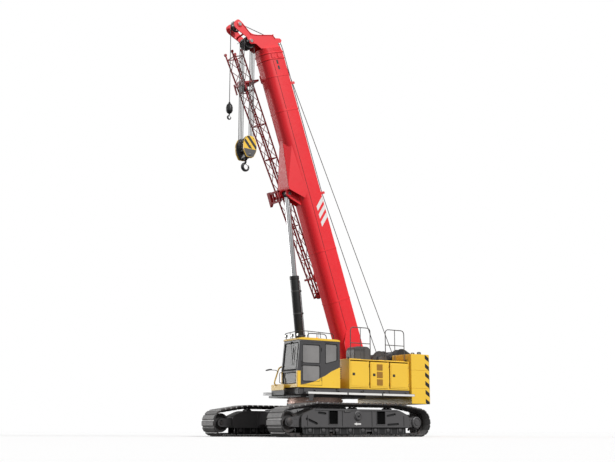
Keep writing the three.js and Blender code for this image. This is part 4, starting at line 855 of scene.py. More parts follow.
    # forks round both wheels with their bolts, and the front one's spring cylinder
    for end in (-1, 1):
        for y0 in (-0.190, 0.130):
            fork = [(end * (BEAM_END - 0.06), 0.315), (end * (WHEEL_X + 0.02), 0.335),
                    (end * (WHEEL_X + 0.150), 0.40), (end * (WHEEL_X + 0.150), 0.56),
                    (end * (WHEEL_X + 0.02), 0.625), (end * (BEAM_END - 0.06), 0.66)]
            hole = circle(end * WHEEL_X, AXLE_Z, 0.085, 20)
            kit.prism(rounded(fork, 0.05), TRACK_Y + y0, TRACK_Y + y0 + 0.060, "y", "grey", holes=[hole])
        for z in (0.385, 0.575):
            for dx in (-0.20, -0.28):
                kit.bolt((end * (WHEEL_X + dx), TRACK_Y + 0.190, z), ACROSS, 0.017, 0.018)
    kit.turned([(0.10, 0), (0.10, 0.26), (0.055, 0.28), (0.055, 0.40)], (1.98, TRACK_Y, 0.50), AHEAD,
               "steel", 20)
    # grab iron on the outer face
    kit.tube(bent([(0.30, outer, 0.83), (0.30, outer + 0.045, 0.83), (0.56, outer + 0.045, 0.83),
                   (0.56, outer, 0.83)], 0.03), 0.011, "zinc")
    # travel motor on the inner face of the rear wheel
    kit.turned([(0.15, 0), (0.15, 0.10), (0.11, 0.14), (0.11, 0.24), (0.07, 0.26)],
               (-WHEEL_X + 0.02, inner + 0.10, AXLE_Z), (0, -1, 0), "black", 24)
    kit.piece(f"{side}_track_frame_body", f"track_unit_{side}", (f"track_frame_{side}",), bevel=0.006)


both_sides(make_track_frame)


def gear_outline(x, z, tip, root, teeth):
    outline = []
    for i in range(teeth):
        for share, radius in ((0.0, root), (0.22, root), (0.34, tip), (0.62, tip), (0.74, root)):
            angle = 2 * pi * (i + share) / teeth
            outline.append((x + radius * cos(angle), z + radius * sin(angle)))
    return outline


def make_wheels(side, sign):
    kit = Kit(mirrored(sign))
    x, y = -WHEEL_X, TRACK_Y
    kit.prism(gear_outline(x, AXLE_Z, 0.336, 0.272, 17), y - 0.036, y + 0.036, "y", "steel", inset=0.006)
    kit.turned([(0.07, -0.21), (0.07, -0.125), (0.215, -0.118), (0.232, -0.095), (0.232, 0.095),
                (0.215, 0.118), (0.07, 0.125), (0.07, 0.196), (0.195, 0.196), (0.200, 0.206),
                (0.200, 0.232), (0.176, 0.248), (0.150, 0.248), (0.142, 0.236), (0.105, 0.236),
                (0.098, 0.255), (0.060, 0.257)], (x, y, AXLE_Z), ACROSS, "grey", 40)
    kit.bolt_circle((x, y + 0.250, AXLE_Z), ACROSS, 0.164, 12, 0.012, 0.012)
    kit.bolt_circle((x, y + 0.118, AXLE_Z), ACROSS, 0.190, 16, 0.012, 0.012)
    kit.bolt((x + 0.04, y + 0.256, AXLE_Z + 0.055), ACROSS, 0.014, 0.014, "zinc")
    kit.piece(f"{side}_sprocket_wheel", f"drive_sprocket_{side}", (f"drive_sprocket_{side}",), smooth=38)

    kit = Kit(mirrored(sign))
    x = WHEEL_X
    kit.turned([(0.07, -0.21), (0.07, -0.118), (0.13, -0.112), (0.15, -0.070), (0.24, -0.058),
                (0.262, -0.100), (0.333, -0.100), (0.333, -0.052), (0.308, -0.048), (0.308, 0.048),
                (0.333, 0.052), (0.333, 0.100), (0.262, 0.100), (0.24, 0.058), (0.15, 0.070), (0.13, 0.112),
                (0.07, 0.118), (0.07, 0.196), (0.108, 0.196), (0.110, 0.206), (0.110, 0.216),
                (0.098, 0.221)], (x, y, AXLE_Z), ACROSS, "steel", 40)
    kit.bolt_circle((x, y + 0.218, AXLE_Z), ACROSS, 0.082, 6, 0.011, 0.010)
    kit.piece(f"{side}_idler_wheel", f"front_idler_{side}", (f"front_idler_{side}",), smooth=38)


both_sides(make_wheels)

# ---------------------------------------------------------------- carbody and slewing ring


def make_carbody():
    kit = Kit()
    # what the plain box carries: flanges round the axle sockets, ribs, end covers with handles and
    # towing eyes, gussets under the slewing ring, and hoses
    for sign in (-1, 1):
        face = sign * 1.200
        for x in (-ARM_X, ARM_X):
            outer_edge = soft_rectangle(x - 0.275, x + 0.275, 0.372, 0.905, 0.05)
            inner_edge = soft_rectangle(x - 0.186, x + 0.186, 0.409, 0.851, 0.02)
            kit.shell(outer_edge, inner_edge, face, face + sign * 0.032, "y", "charcoal")
            for dx in (-0.235, 0.235):
                for z in (0.43, 0.63, 0.83):
                    kit.bolt((x + dx, face + sign * 0.032, z), (0, sign, 0), 0.017, 0.018)
        for x in (-0.5, 0.0, 0.5):
            kit.prism(soft_rectangle(x - 0.012, x + 0.012, 0.38, 0.90, 0.008), face, face + sign * 0.05,
                      "y", "charcoal")
    for end in (-1, 1):
        face = end * 1.320
        plate = soft_rectangle(-0.85, 0.85, 0.40, 0.88, 0.06)
        kit.prism(plate, face, face + end * 0.018, "x", "charcoal")
        for y in (-0.75, -0.25, 0.25, 0.75):
            for z in (0.46, 0.82):
                kit.bolt((face + end * 0.018, y, z), (end, 0, 0), 0.015, 0.015)
        for y in (-0.42, 0.42):
            kit.tube(bent([(face, y - 0.11, 0.64), (face + end * 0.06, y - 0.11, 0.64),
                           (face + end * 0.06, y + 0.11, 0.64), (face, y + 0.11, 0.64)], 0.03), 0.014,
                           "zinc")
        # towing eye
        kit.prism(rounded([(face - end * 0.02, 0.40), (face + end * 0.13, 0.44), (face + end * 0.13, 0.58),
                           (face - end * 0.02, 0.66)], 0.05), -0.03, 0.03, "y", "charcoal",
                           holes=[circle(face + end * 0.075, 0.51, 0.035, 16)])
    for k in range(12):
        angle = radians(15 + 30 * k)
        inner_r, outer_r = 0.985, 1.16
        a = (inner_r * cos(angle), inner_r * sin(angle))
        b = (outer_r * cos(angle), outer_r * sin(angle))
        side = Vector((-sin(angle), cos(angle))) * 0.011
        low, high = 0.926, 1.122
        points = []
        for w in (-1, 1):
            for (px, py), z in ((a, low), (b, low), (a, high)):
                points.append((px + w * side.x, py + w * side.y, z))
        kit.add(points, [[0, 1, 2], [3, 4, 5], [0, 1, 4, 3], [1, 2, 5, 4], [2, 0, 3, 5]], "charcoal")
    for sign in (-1, 1):
        for i, z in enumerate((0.50, 0.56, 0.62)):
            y0 = sign * 1.20
            reach = sign * (1.245 + 0.015 * i)
            kit.tube(bent([(-0.35, y0, z), (-0.42, reach, z - 0.02), (-0.60, reach, z - 0.12),
                           (-0.72, reach, z - 0.10), (-0.74, y0, z - 0.04)], 0.05), 0.014, "rubber")
    kit.piece("carbody_fittings", "undercarriage", bevel=0.004)

    kit = Kit()
    kit.lathe([(0.70, 1.131), (0.990, 1.131), (0.996, 1.137), (0.996, 1.158), (0.962, 1.164),
               (0.962, 1.196), (0.975, 1.202), (0.975, 1.262), (0.940, 1.268), (0.940, 1.288),
               (0.968, 1.294), (0.968, 1.326), (0.70, 1.326)], (0, 0, 0), UP, "ring", 96, ring=True)
    for k in range(72):
        angle = 2 * pi * k / 72
        at = Vector((0.9725 * cos(angle), 0.9725 * sin(angle), 0))
        side = Vector((-sin(angle), cos(angle), 0)) * 0.013
        out = Vector((cos(angle), sin(angle), 0)) * 0.016
        points = [at + w * side * s + o * out + Vector((0, 0, z)) for z in (1.196, 1.268) for w, o,
                  s in ((-1, -1, 1.2), (1, -1, 1.2), (1, 1, 0.6), (-1, 1, 0.6))]
        kit.add(points, [[0, 1, 2, 3], [4, 5, 6, 7], [0, 1, 5, 4], [1, 2, 6, 5], [2, 3, 7, 6],
                         [3, 0, 4, 7]], "ring")
    kit.bolt_circle((0, 0, 1.158), UP, 0.981, 36, 0.013, 0.016, "zinc")
    kit.piece("slewing_ring_gear", "undercarriage", ("slew_ring",), smooth=30)


make_carbody()

# ---------------------------------------------------------------- boom

BOOM_HALF = 0.385
BOOM_OVER = 0.480
BOOM_UNDER = 0.410
STEP = 0.036
WALL = 0.015
SECTION_ENDS = [BASE_END + 0.050 * k for k in range(5)]


def boom_outline(inset):
    """A section's (y, z) outline: tight corners above, one deep round below."""
    low_steps, high_steps = 16, 4
    half, top, bottom = BOOM_HALF - inset, BOOM_OVER - inset, -BOOM_UNDER + inset
    low, high = max(0.300 - inset, 0.060), max(0.050 - inset, 0.010)
    return (
        arc_points(half - high, top - high, high, 0, 90, high_steps)
        + arc_points(-half + high, top - high, high, 90, 180, high_steps)
        + arc_points(-half + low, bottom + low, low, 180, 270, low_steps)
        + arc_points(half - low, bottom + low, low, 270, 360, low_steps)
    )


def side_patch(kit, outline, y, material, thick=0.003):
    """A flat mark on a side of the boom, from its (along, up) outline."""
    way = 1 if y > 0 else -1
    kit.prism(outline, y, y + way * thick, "y", material)


def jib_station(share):
    """The jib's four chord centres at a share of its length from its tip."""
    x = 2.660 + 9.620 * share
    y, z = -0.900 - 0.025 * share, 0.040 - 0.810 * share
    w, h = 0.200 + 0.280 * share, 0.260 + 0.170 * share
    return [Vector((x, y + sy * w / 2, z + sz * h / 2)) for sy, sz in ((-1, -1), (1, -1), (1, 1), (-1, 1))]


def make_base_section():
    kit = Kit(BOOM)
    kit.shell(boom_outline(0), boom_outline(WALL), -0.26, BASE_END, "x", "red")
    kit.prism(boom_outline(WALL), -0.24, -0.225, "x", "red")
    # end collar with its bolted wear-pad covers
    kit.shell(boom_outline(-0.022), boom_outline(0.0), BASE_END - 0.26, BASE_END - 0.235, "x", "red")
    kit.shell(boom_outline(-0.022), boom_outline(0.0), BASE_END - 0.030, BASE_END, "x", "red")
    for side in (-1, 1):
        for z in (0.26, -0.02):
            face = side * BOOM_HALF
            kit.prism(soft_rectangle(BASE_END - 0.215, BASE_END - 0.055, z - 0.085, z + 0.085, 0.015), face,
                      face + side * 0.018, "y", "red")
            for dx in (-0.195, -0.075):
                for dz in (-0.06, 0.06):
                    kit.bolt((BASE_END + dx, face + side * 0.018, z + dz), (0, side, 0), 0.012, 0.010,
                             "red")
        # slots near the end, drawn as black patches of painted shade, and the seam between upper and lower
        # shells: a red lip with a black line under it as its painted shadow
        for x0 in (11.15, 11.36):
            side_patch(kit, soft_rectangle(x0, x0 + 0.145, 0.055, 0.135, 0.02), side * BOOM_HALF, "black",
                       0.002)
        side_patch(kit, rectangle(0.25, 11.50, -0.085, -0.073), side * BOOM_HALF, "black", 0.0015)
        side_patch(kit, rectangle(-0.20, 11.50, -0.070, -0.062), side * BOOM_HALF, "red", 0.006)
        # white bars aslant near the upper edge
        for i in range(3):
            x0, low, high = 5.78 - 0.30 * i, 0.085, 0.445
            lean = 0.85 * (high - low)
            bar = [(x0, low), (x0 + 0.175, low), (x0 + 0.175 + lean, high), (x0 + lean, high)]
            side_patch(kit, bar, side * BOOM_HALF, "white", 0.002)
        # foot plates round the pin
        face = side * BOOM_HALF
        foot = [(-0.25, -0.36), (0.85, -0.36), (1.35, -0.10), (1.35, 0.12), (0.80, 0.42), (-0.25, 0.42)]
        kit.prism(rounded(foot, 0.12, 6), face, face + side * 0.014, "y", "red")
        kit.turned([(0.155, 0), (0.155, 0.016), (0.135, 0.020)], (0, face + side * 0.014, 0), (0, side, 0),
                   "red", 32)
    kit.pin(0, 0, 0.470, 0.079, "zinc", 28)
    for side in (-1, 1):
        kit.turned([(0.118, 0), (0.118, 0.014), (0.100, 0.018)], (0, side * 0.472, 0), (0, side, 0), "grey",
                   28)
        kit.bolt_circle((0, side * 0.490, 0), (0, side, 0), 0.085, 6, 0.012, 0.012)
    # plates for the lift cylinder's eye, drawn out forward into a box
    x, z = LIFT_EYE
    root = -BOOM_UNDER + 0.010
    lug = [(x - 0.52, root), (x - 0.14, z - 0.05), (x - 0.06, z - 0.13), (x + 0.06, z - 0.13),
           (x + 0.14, z - 0.06), (x + 0.50, root - 0.16), (x + 1.10, root - 0.05), (x + 1.25, root)]
    for side in (-1, 1):
        y0 = side * 0.120
        kit.prism(rounded(lug, [0.04, 0.1, 0.08, 0.08, 0.08, 0.3, 0.5, 0.04]), y0, y0 + side * 0.045, "y",
                  "red")
        kit.turned([(0.125, 0), (0.125, 0.020), (0.110, 0.026)], (x, side * 0.165, z), (0, side, 0), "red",
                   28)
        kit.turned([(0.060, 0), (0.060, 0.020)], (x, side * 0.190, z), (0, side, 0), "zinc", 20)
        kit.bolt((x - 0.03, side * 0.191, z - 0.085), (0, side, 0), 0.011, 0.012)
        # a cheek from the shell's flank down to the wedge's foot, drawn in towards its tip
        cheek = [(x - 0.30, 0.372, -0.30), (x + 0.14, 0.352, -0.86), (x + 0.30, 0.352, -0.86),
                 (x + 1.95, 0.095, -0.408), (x + 1.75, 0.352, -0.22), (x - 0.05, 0.383, -0.12)]
        outer = [Vector((cx, side * cy, cz)) for cx, cy, cz in cheek]
        inner = [Vector((cx, side * (cy - 0.024), cz)) for cx, cy, cz in cheek]
        fan = [[2, 3, 4], [2, 4, 5], [2, 5, 0], [2, 0, 1]]
        rim = [[i, (i + 1) % 6, (i + 1) % 6 + 6, i + 6] for i in range(6)]
        kit.add(outer + inner, fan + [[i + 6 for i in t] for t in fan] + rim, "red")
    foot = [(x + 0.14, 0.352, -0.86), (x + 0.30, 0.352, -0.86), (x + 1.95, 0.095, -0.408),
            (x + 1.95, -0.095, -0.408), (x + 0.30, -0.352, -0.86), (x + 0.14, -0.352, -0.86)]
    plate = foot + [(fx, fy * 0.95, fz + 0.022) for fx, fy, fz in foot]
    kit.add(plate, [[0, 1, 4, 5], [1, 2, 3, 4], [6, 7, 10, 11],
                    [7, 8, 9, 10]] + [[i, (i + 1) % 6, (i + 1) % 6 + 6, i + 6] for i in range(6)], "red")
    kit.prism(rounded([(x - 0.04, -1.00), (x + 0.15, -1.00), (x + 0.17, -0.84), (x + 0.10, -0.80)], 0.02),
              -0.30, -0.12, "y", "red")
    # stiffening bands round the shell
    for x in (2.4, 4.3, 9.6, 10.9):
        kit.shell(boom_outline(-0.010), boom_outline(0.0), x, x + 0.05, "x", "red")
    kit.piece("boom_base_shell", "boom_base", ("boom_base_section",), bevel=0.003, smooth=30)

    # what is bolted on: rope guides, oil pipes along the top, the jib's brackets
    kit = Kit(BOOM)
    for x in (6.40, 10.64):
        for side in (-1, 1):
            kit.prism(rounded([(x - 0.06, BOOM_OVER), (x + 0.06, BOOM_OVER), (x + 0.045, 0.80),
                               (x - 0.045, 0.80)], 0.03), side * 0.150 - 0.008, side * 0.150 + 0.008, "y",
                               "red")
        kit.turned(symmetric([(0.040, -0.142), (0.034, -0.06)]), (x, 0, 0.685), ACROSS, "zinc", 20)
        kit.pin(x, 0.685, 0.165, 0.016, "zinc")
        kit.pin(x, 0.785, 0.160, 0.012, "zinc")
        kit.box(x - 0.09, x + 0.09, -0.19, 0.19, BOOM_OVER, BOOM_OVER + 0.012, "red")
    for y in (0.29, 0.255):
        kit.tube([(0.6, y, BOOM_OVER + 0.022), (11.4, y, BOOM_OVER + 0.022)], 0.011, "black", 6)
        for k in range(10):
            kit.box(0.8 + 1.15 * k, 0.84 + 1.15 * k, y - 0.02, y + 0.02, BOOM_OVER, BOOM_OVER + 0.038,
                    "zinc")
    # the jib's brackets take the darker red, painted shade
    for share, reach in ((0.08, 0.09), (0.44, 0.16), (0.87, 0.16)):
        inner = jib_station(share)
        x = inner[1].x
        y1, y0 = -BOOM_HALF + 0.01, inner[1].y - 0.02 - reach * 2.4
        z0, z1 = inner[1].z - 0.11, inner[2].z + 0.05
        for z in (z0, z1):
            for low, high, front in ((-0.035, 0.035, -0.028), (-0.035, -0.025, 0.035),
                                     (0.025, 0.035, 0.035)):
                kit.prism(rectangle(y0, y1, z + low, z + high), x - 0.040, x + front, "x", "red_in_shade")
        for y in (y0, (y0 + y1) / 2, y1 - 0.05):
            kit.box(x - 0.035, x + 0.030, y, y + 0.045, z0, z1, "red_in_shade")
            if share > 0.8:
                kit.box(x - 0.30, x + 0.10, y, y + 0.050, z0 - 0.060, z0 - 0.010, "red_in_shade")
        if share > 0.8:
            for x0 in (x - 0.30, x + 0.06):
                kit.box(x0, x0 + 0.060, y0 + 0.20, y1, z0 - 0.070, z0 - 0.010, "red_in_shade")
            kit.box(x - 0.30, x - 0.10, y1 - 0.32, y1 - 0.10, z0 - 0.15, z0 + 0.10, "black")
        kit.rod((x, y0 + 0.04, z0), (x, (y0 + y1) / 2, z1), 0.018, "red_in_shade", 8)
        flank0, flank1 = max(z0 - 0.06, -0.30), max(z1 + 0.07, -0.02)
        kit.prism(soft_rectangle(x - 0.16, x + 0.16, flank0, flank1, 0.05), -BOOM_HALF - 0.02,
                  -BOOM_HALF + 0.002, "y", "red")
        for dx in (-0.12, 0.12):
            for z in (flank0 + 0.04, flank1 - 0.04):
                kit.bolt((x + dx, -BOOM_HALF - 0.02, z), (0, -1, 0), 0.013, 0.012, "red")
    # open frame beside the lift cylinder's eye, which carries the jib's middle, in the darker red of painted
    # shade
    x, level = LIFT_EYE[0], -0.980
    near, far = -0.175, -0.780
    for x0 in (x - 0.16, x + 0.20):
        kit.box(x0 - 0.035, x0 + 0.035, far, near, level - 0.040, level + 0.040, "red_in_shade")
    for y in (far, -0.60, -0.40, near - 0.05):
        kit.box(x - 0.16, x + 0.20, y, y + 0.05, level - 0.035, level + 0.035, "red_in_shade")
    kit.prism(rounded([(x - 0.30, far - 0.10), (x + 0.26, far - 0.10), (x + 0.26, far + 0.06),
                       (x - 0.16, far + 0.06)], 0.03), level - 0.050, level + 0.050, "z", "red_in_shade")
    kit.prism(rectangle(far - 0.06, far + 0.04, level, -0.46), x - 0.060, x + 0.060, "x", "red_in_shade")
    kit.piece("boom_base_fittings", "boom_base", bevel=0.0025)


make_base_section()


def make_section(number):
    kit = Kit(BOOM)
    inset = (number - 1) * STEP
    rear = 0.500 + (number - 2) * 0.060
    end = SECTION_ENDS[number - 1]
    kit.shell(boom_outline(inset), boom_outline(inset + WALL), rear, end, "x", "red")
    collar = (number - 2) * 0.010 + 0.004
    kit.shell(boom_outline(collar), boom_outline(inset), end - 0.044, end - 0.004, "x", "red")
    for side in (-1, 1):
        face = side * (BOOM_HALF - inset)
        # a black line along each side: painted shade of the seam
        side_patch(kit, rectangle(rear + 0.3, end - 0.1, -0.170, -0.160), face, "black", 0.0015)
        for z in (0.30, 0.12, -0.06):
            kit.bolt((end - 0.024, side * (BOOM_HALF - collar), z), (0, side, 0), 0.009, 0.006, "red")
    # grease marks of the pads on the slide faces
    for y in (-0.20, 0.20):
        kit.box(rear + 0.5, end - 0.2, y - 0.05, y + 0.05, BOOM_OVER - inset, BOOM_OVER - inset + 0.0015,
                "red")
    kit.piece(f"boom_shell_{number}", f"boom_section_{number}", (f"boom_section_{number}",), bevel=0.002,
              smooth=30)


for section_number in (2, 3, 4, 5):
    make_section(section_number)

# ---------------------------------------------------------------- boom head

MAIN_SHEAVE = (12.333, -0.724)
AUX_SHEAVE = (12.985, -1.030)
MAIN_OFFSETS = (-0.144, -0.048, 0.048, 0.144)


def sheave(kit, x, y, z, radius, width, material="charcoal", spokes=6):
    """A rope sheave: grooved rim, pierced web, hub."""
    w = width / 2
    kit.lathe(symmetric([(radius - 0.050, -w * 0.8), (radius - 0.010, -w), (radius, -w * 0.9),
                         (radius - 0.020, -w * 0.35), (radius - 0.024, 0)]), (x, y, z), ACROSS, material,
                         40, ring=True)
    holes = []
    for k in range(spokes):
        angle = 2 * pi * k / spokes
        reach = (radius + 0.055) / 2
        holes.append(circle(x + reach * cos(angle), z + reach * sin(angle), (radius - 0.12) * 0.30, 14))
    kit.prism(circle(x, z, radius - 0.040, 40), y - w * 0.35, y + w * 0.35, "y", material, holes=holes)
    kit.turned([(0.080, -w), (0.080, w)], (x, y, z), ACROSS, material, 24)


def make_head():
    kit = Kit(BOOM)
    mx, mz = MAIN_SHEAVE
    ax, az = AUX_SHEAVE
    rear = SECTION_ENDS[4] + 0.001
    outline = [(rear, -0.380), (mx - 0.110, -0.560), (mx - 0.100, mz - 0.060), (mx + 0.020, mz - 0.130),
               (mx + 0.150, mz - 0.130), (ax - 0.190, az - 0.150), (ax - 0.060, az - 0.250),
               (ax + 0.090, az - 0.230), (ax + 0.215, az - 0.005), (ax + 0.060, az + 0.130),
               (mx + 0.270, mz + 0.070), (mx + 0.205, -0.400), (mx + 0.150, 0.290), (mx - 0.170, 0.420),
               (rear, 0.430)]
    corner = [0.01, 0.06, 0.04, 0.06, 0.06, 0.05, 0.12, 0.12, 0.14, 0.08, 0.12, 0.10, 0.10, 0.08, 0.01]
    for y0 in (-0.290, 0.260):
        kit.prism(rounded(outline, corner, 5), y0, y0 + 0.030, "y", "red")
    for side in (-1, 1):
        face = side * 0.290
        for x, z, r in ((mx, mz, 0.115), (ax, az, 0.105)):
            kit.turned([(r, 0), (r, 0.018), (r - 0.012, 0.024)], (x, face, z), (0, side, 0), "red", 28)
            kit.turned([(0.062, 0), (0.062, 0.014)], (x, face + side * 0.024, z), (0, side, 0), "zinc", 20)
            kit.bolt_circle((x, face + side * 0.024, z), (0, side, 0), r - 0.028, 6, 0.009, 0.008)
        # stiffening rib down the plate's edge
        rib = [(mx - 0.02, 0.36), (mx + 0.13, 0.27), (mx + 0.185, -0.38), (mx + 0.235, mz + 0.06),
               (ax + 0.03, az + 0.11)]
        kit.tube([(x, face + side * 0.010, z) for x, z in rib], 0.014, "red", 6)
    inside = 0.262
    kit.prism(boom_outline(4 * STEP + 0.002), rear, rear + 0.040, "x", "red")
    kit.box(mx + 0.060, mx + 0.100, -inside, inside, -0.380, 0.280, "red")
    kit.box(rear + 0.05, mx + 0.09, -inside, inside, 0.330, 0.350, "red")
    kit.pin((mx + ax) / 2, (mz + az) / 2, inside, 0.034, "red", 16)
    # guide roller over the head, with the rope's keeper bars behind it
    for side in (-1, 1):
        arm = [(mx - 0.16, 0.38), (mx + 0.06, 0.30), (mx + 0.02, 0.66), (mx - 0.06, 0.72),
               (mx - 0.14, 0.66)]
        kit.prism(rounded(arm, 0.04), side * 0.165 - 0.010, side * 0.165 + 0.010, "y", "red")
        kit.rod((mx - 0.34, side * 0.20, 0.36), (mx - 0.22, side * 0.20, 0.56), 0.012, "zinc", 8)
    kit.turned(symmetric([(0.062, -0.155), (0.050, -0.09)]), (mx - 0.06, 0, 0.640), ACROSS, "charcoal", 24)
    kit.pin(mx - 0.34, 0.36, 0.22, 0.014, "zinc", 8)
    kit.pin(mx - 0.22, 0.56, 0.22, 0.014, "zinc", 8)
    for y in (-0.12, 0.0, 0.12):
        kit.rod((mx - 0.34, y, 0.36), (mx - 0.22, y, 0.56), 0.009, "zinc", 6)
    # sheave keepers
    for angle in (-2.4, -1.2, 0.5):
        x, z = mx + 0.262 * cos(angle), mz + 0.262 * sin(angle)
        if z < mz + 0.1 and x > mx - 0.1:
            kit.pin(x, z, inside, 0.010, "zinc", 8)
    # a lamp on its arm, and the hoist's limit switch
    kit.rod((mx + 0.02, 0.22, 0.28), (mx + 0.17, 0.22, 0.32), 0.010, "zinc", 8)
    kit.lathe([(0, 0), (0.022, 0), (0.026, 0.03), (0.018, 0.055), (0, 0.06)], (mx + 0.16, 0.22, 0.318), UP,
              "tail", 14)
    kit.box(mx - 0.02, mx + 0.05, 0.290, 0.330, mz - 0.20, mz - 0.10, "black")
    kit.piece("boom_head_plates", "boom_section_5", ("boom_head",), bevel=0.003, smooth=30)

    kit = Kit(BOOM)
    for y in MAIN_OFFSETS:
        sheave(kit, mx, y, mz, 0.225, 0.050)
    kit.pin(mx, mz, 0.296, 0.048, "zinc", 20)
    kit.piece("head_sheave_set", "boom_section_5", ("head_sheaves",), smooth=35)
    kit = Kit(BOOM)
    sheave(kit, ax, 0, az, 0.200, 0.060)
    kit.pin(ax, az, 0.296, 0.048, "zinc", 20)
    kit.piece("aux_sheave_wheel", "boom_section_5", ("aux_sheave",), smooth=35)


make_head()

# ---------------------------------------------------------------- stowed jib


def make_jib():
    kit = Kit(BOOM)
    tip, root = jib_station(0), jib_station(1)
    # the lattice takes the darker red, painted shade
    for a, b in zip(tip, root):
        kit.rod(a, b, 0.030, "red_in_shade", 12)
    bays = 7
    stops = [0.02 + 0.96 * i / bays for i in range(bays + 1)]
    for share in stops:
        corners = jib_station(share)
        for i in range(4):
            kit.rod(corners[i], corners[(i + 1) % 4], 0.020, "red_in_shade", 8)
    # lacing: a zigzag on each of the four faces
    for i in range(4):
        j = (i + 1) % 4
        zigzag = 21
        for k in range(zigzag):
            a = jib_station(0.02 + 0.96 * k / zigzag)
            b = jib_station(0.02 + 0.96 * (k + 1) / zigzag)
            start, stop = (a[i], b[j]) if k % 2 == 0 else (a[j], b[i])
            kit.rod(start, stop, 0.0125, "red_in_shade", 6)
    # root lugs and the tip's sheave
    for y in (root[0].y, root[1].y):
        for z in (root[0].z, root[2].z):
            lug = soft_rectangle(root[0].x - 0.03, root[0].x + 0.06, z - 0.045, z + 0.045, 0.03)
            hole = circle(root[0].x + 0.025, z, 0.018, 12)
            for near, far in ((-0.035, -0.012), (0.012, 0.035)):
                kit.prism(lug, y + near, y + far, "y", "red_in_shade", holes=[hole])
    x, y, z = tip[0].x + 0.05, (tip[0].y + tip[1].y) / 2, (tip[0].z + tip[2].z) / 2
    sheave(kit, x + 0.02, y, z, 0.115, 0.040, "charcoal", 5)
    kit.rod((x + 0.02, y - 0.13, z), (x + 0.02, y + 0.13, z), 0.022, "zinc", 14)
    for dy in (-0.10, 0.088):
        kit.prism(rounded([(x - 0.05, z - 0.15), (x + 0.09, z - 0.05), (x + 0.09, z + 0.05),
                           (x - 0.05, z + 0.15)], 0.03), y + dy, y + dy + 0.012, "y", "red_in_shade")
    kit.piece("jib_lattice", "boom_base", ("jib",), smooth=35)


make_jib()

# ---------------------------------------------------------------- lift cylinder

LIFT_END = BOOM @ Vector((LIFT_EYE[0], 0, LIFT_EYE[1]))
LIFT_FOOT = CRANE @ Vector((LIFT_BASE[0], 0, LIFT_BASE[1]))
LIFT_WAY = (LIFT_END - LIFT_FOOT).normalized()
LIFT_LENGTH = (LIFT_END - LIFT_FOOT).length
LIFT = Matrix.Translation(LIFT_FOOT) @ Matrix.Rotation(-atan2(LIFT_WAY.z, LIFT_WAY.x), 4, "Y")


def make_lift_cylinder():
    kit = Kit(LIFT)
    kit.lathe([(0.104, 0.30), (0.104, 3.845), (0.160, 3.845), (0.170, 3.835), (0.170, 3.735),
               (0.159, 3.725), (0.159, 0.16), (0.130, 0.10), (0.104, 0.10)], (0, 0, 0), AHEAD, "black", 48,
               ring=True)
    kit.turned([(0.155, 0.06), (0.155, 0.30)], (0, 0, 0), AHEAD, "black", 40)
    kit.turned(symmetric([(0.140, -0.320), (0.149, -0.310)]), (0, 0, 0), ACROSS, "black", 36)
    kit.pin(0, 0, 0.470, 0.069, "zinc", 24)
    for side in (-1, 1):
        kit.turned([(0.105, 0), (0.105, 0.014), (0.09, 0.018)], (0, side * 0.472, 0), (0, side, 0), "grey",
                   24)
        kit.bolt_circle((0, side * 0.490, 0), (0, side, 0), 0.075, 6, 0.011, 0.011)
    kit.bolt_circle((3.845, 0, 0), AHEAD, 0.140, 16, 0.011, 0.012)
    # oil pipes clamped along the tube, and the holding valve at its foot
    for y, z in ((0.060, 0.176), (-0.045, 0.176)):
        kit.tube(bent([(0.42, y, 0.150), (0.46, y, z), (3.62, y, z), (3.68, y, 0.155)], 0.04), 0.014,
                 "charcoal", 8)
    for x in (0.9, 1.7, 2.5, 3.3):
        kit.lathe([(0.159, x - 0.020), (0.166, x - 0.018), (0.166, x + 0.018), (0.159, x + 0.020)],
                  (0, 0, 0), AHEAD, "charcoal", 40, ring=True)
        kit.box(x - 0.03, x + 0.03, -0.075, 0.09, 0.160, 0.198, "charcoal")
    kit.box(0.30, 0.52, -0.09, 0.10, 0.150, 0.235, "charcoal")
    for y in (-0.05, 0.06):
        kit.bolt((0.41, y, 0.235), UP, 0.018, 0.022)
    kit.piece("lift_barrel_tube", "lift_barrel", ("lift_cylinder_barrel",), bevel=0.002, smooth=32)

    kit = Kit(LIFT)
    rod_end = LIFT_LENGTH - 0.120
    kit.turned([(0.1005, 2.66), (0.1005, rod_end - 0.06), (0.096, rod_end - 0.04), (0.096, rod_end)],
               (0, 0, 0), AHEAD, "chrome", 48)
    kit.turned(symmetric([(0.108, -0.107), (0.114, -0.100)]), (LIFT_LENGTH, 0, 0), ACROSS, "charcoal", 32)
    kit.lathe([(0, rod_end - 0.05), (0.092, rod_end - 0.05), (0.098, rod_end + 0.02), (0, rod_end + 0.07)],
              (0, 0, 0), AHEAD, "charcoal", 32)
    kit.piece("lift_rod_bar", "lift_rod", ("lift_cylinder_rod",), smooth=32)


make_lift_cylinder()

# ---------------------------------------------------------------- hoist ropes and hooks

HEAD = BOOM @ Vector((MAIN_SHEAVE[0], 0, MAIN_SHEAVE[1]))
AUX_HEAD = BOOM @ Vector((AUX_SHEAVE[0], 0, AUX_SHEAVE[1]))
WORLD = Matrix.Identity(4)
ROPE_R = 0.0140
FALL_SPREAD = 0.213
BLOCK_TOP = 10.410
AUX_TOP = 11.620
AUX_FALL_X = AUX_HEAD.x + 0.199

MAIN_WINCH = (-2.650, 2.750)
AUX_WINCH = (-3.500, 2.860)


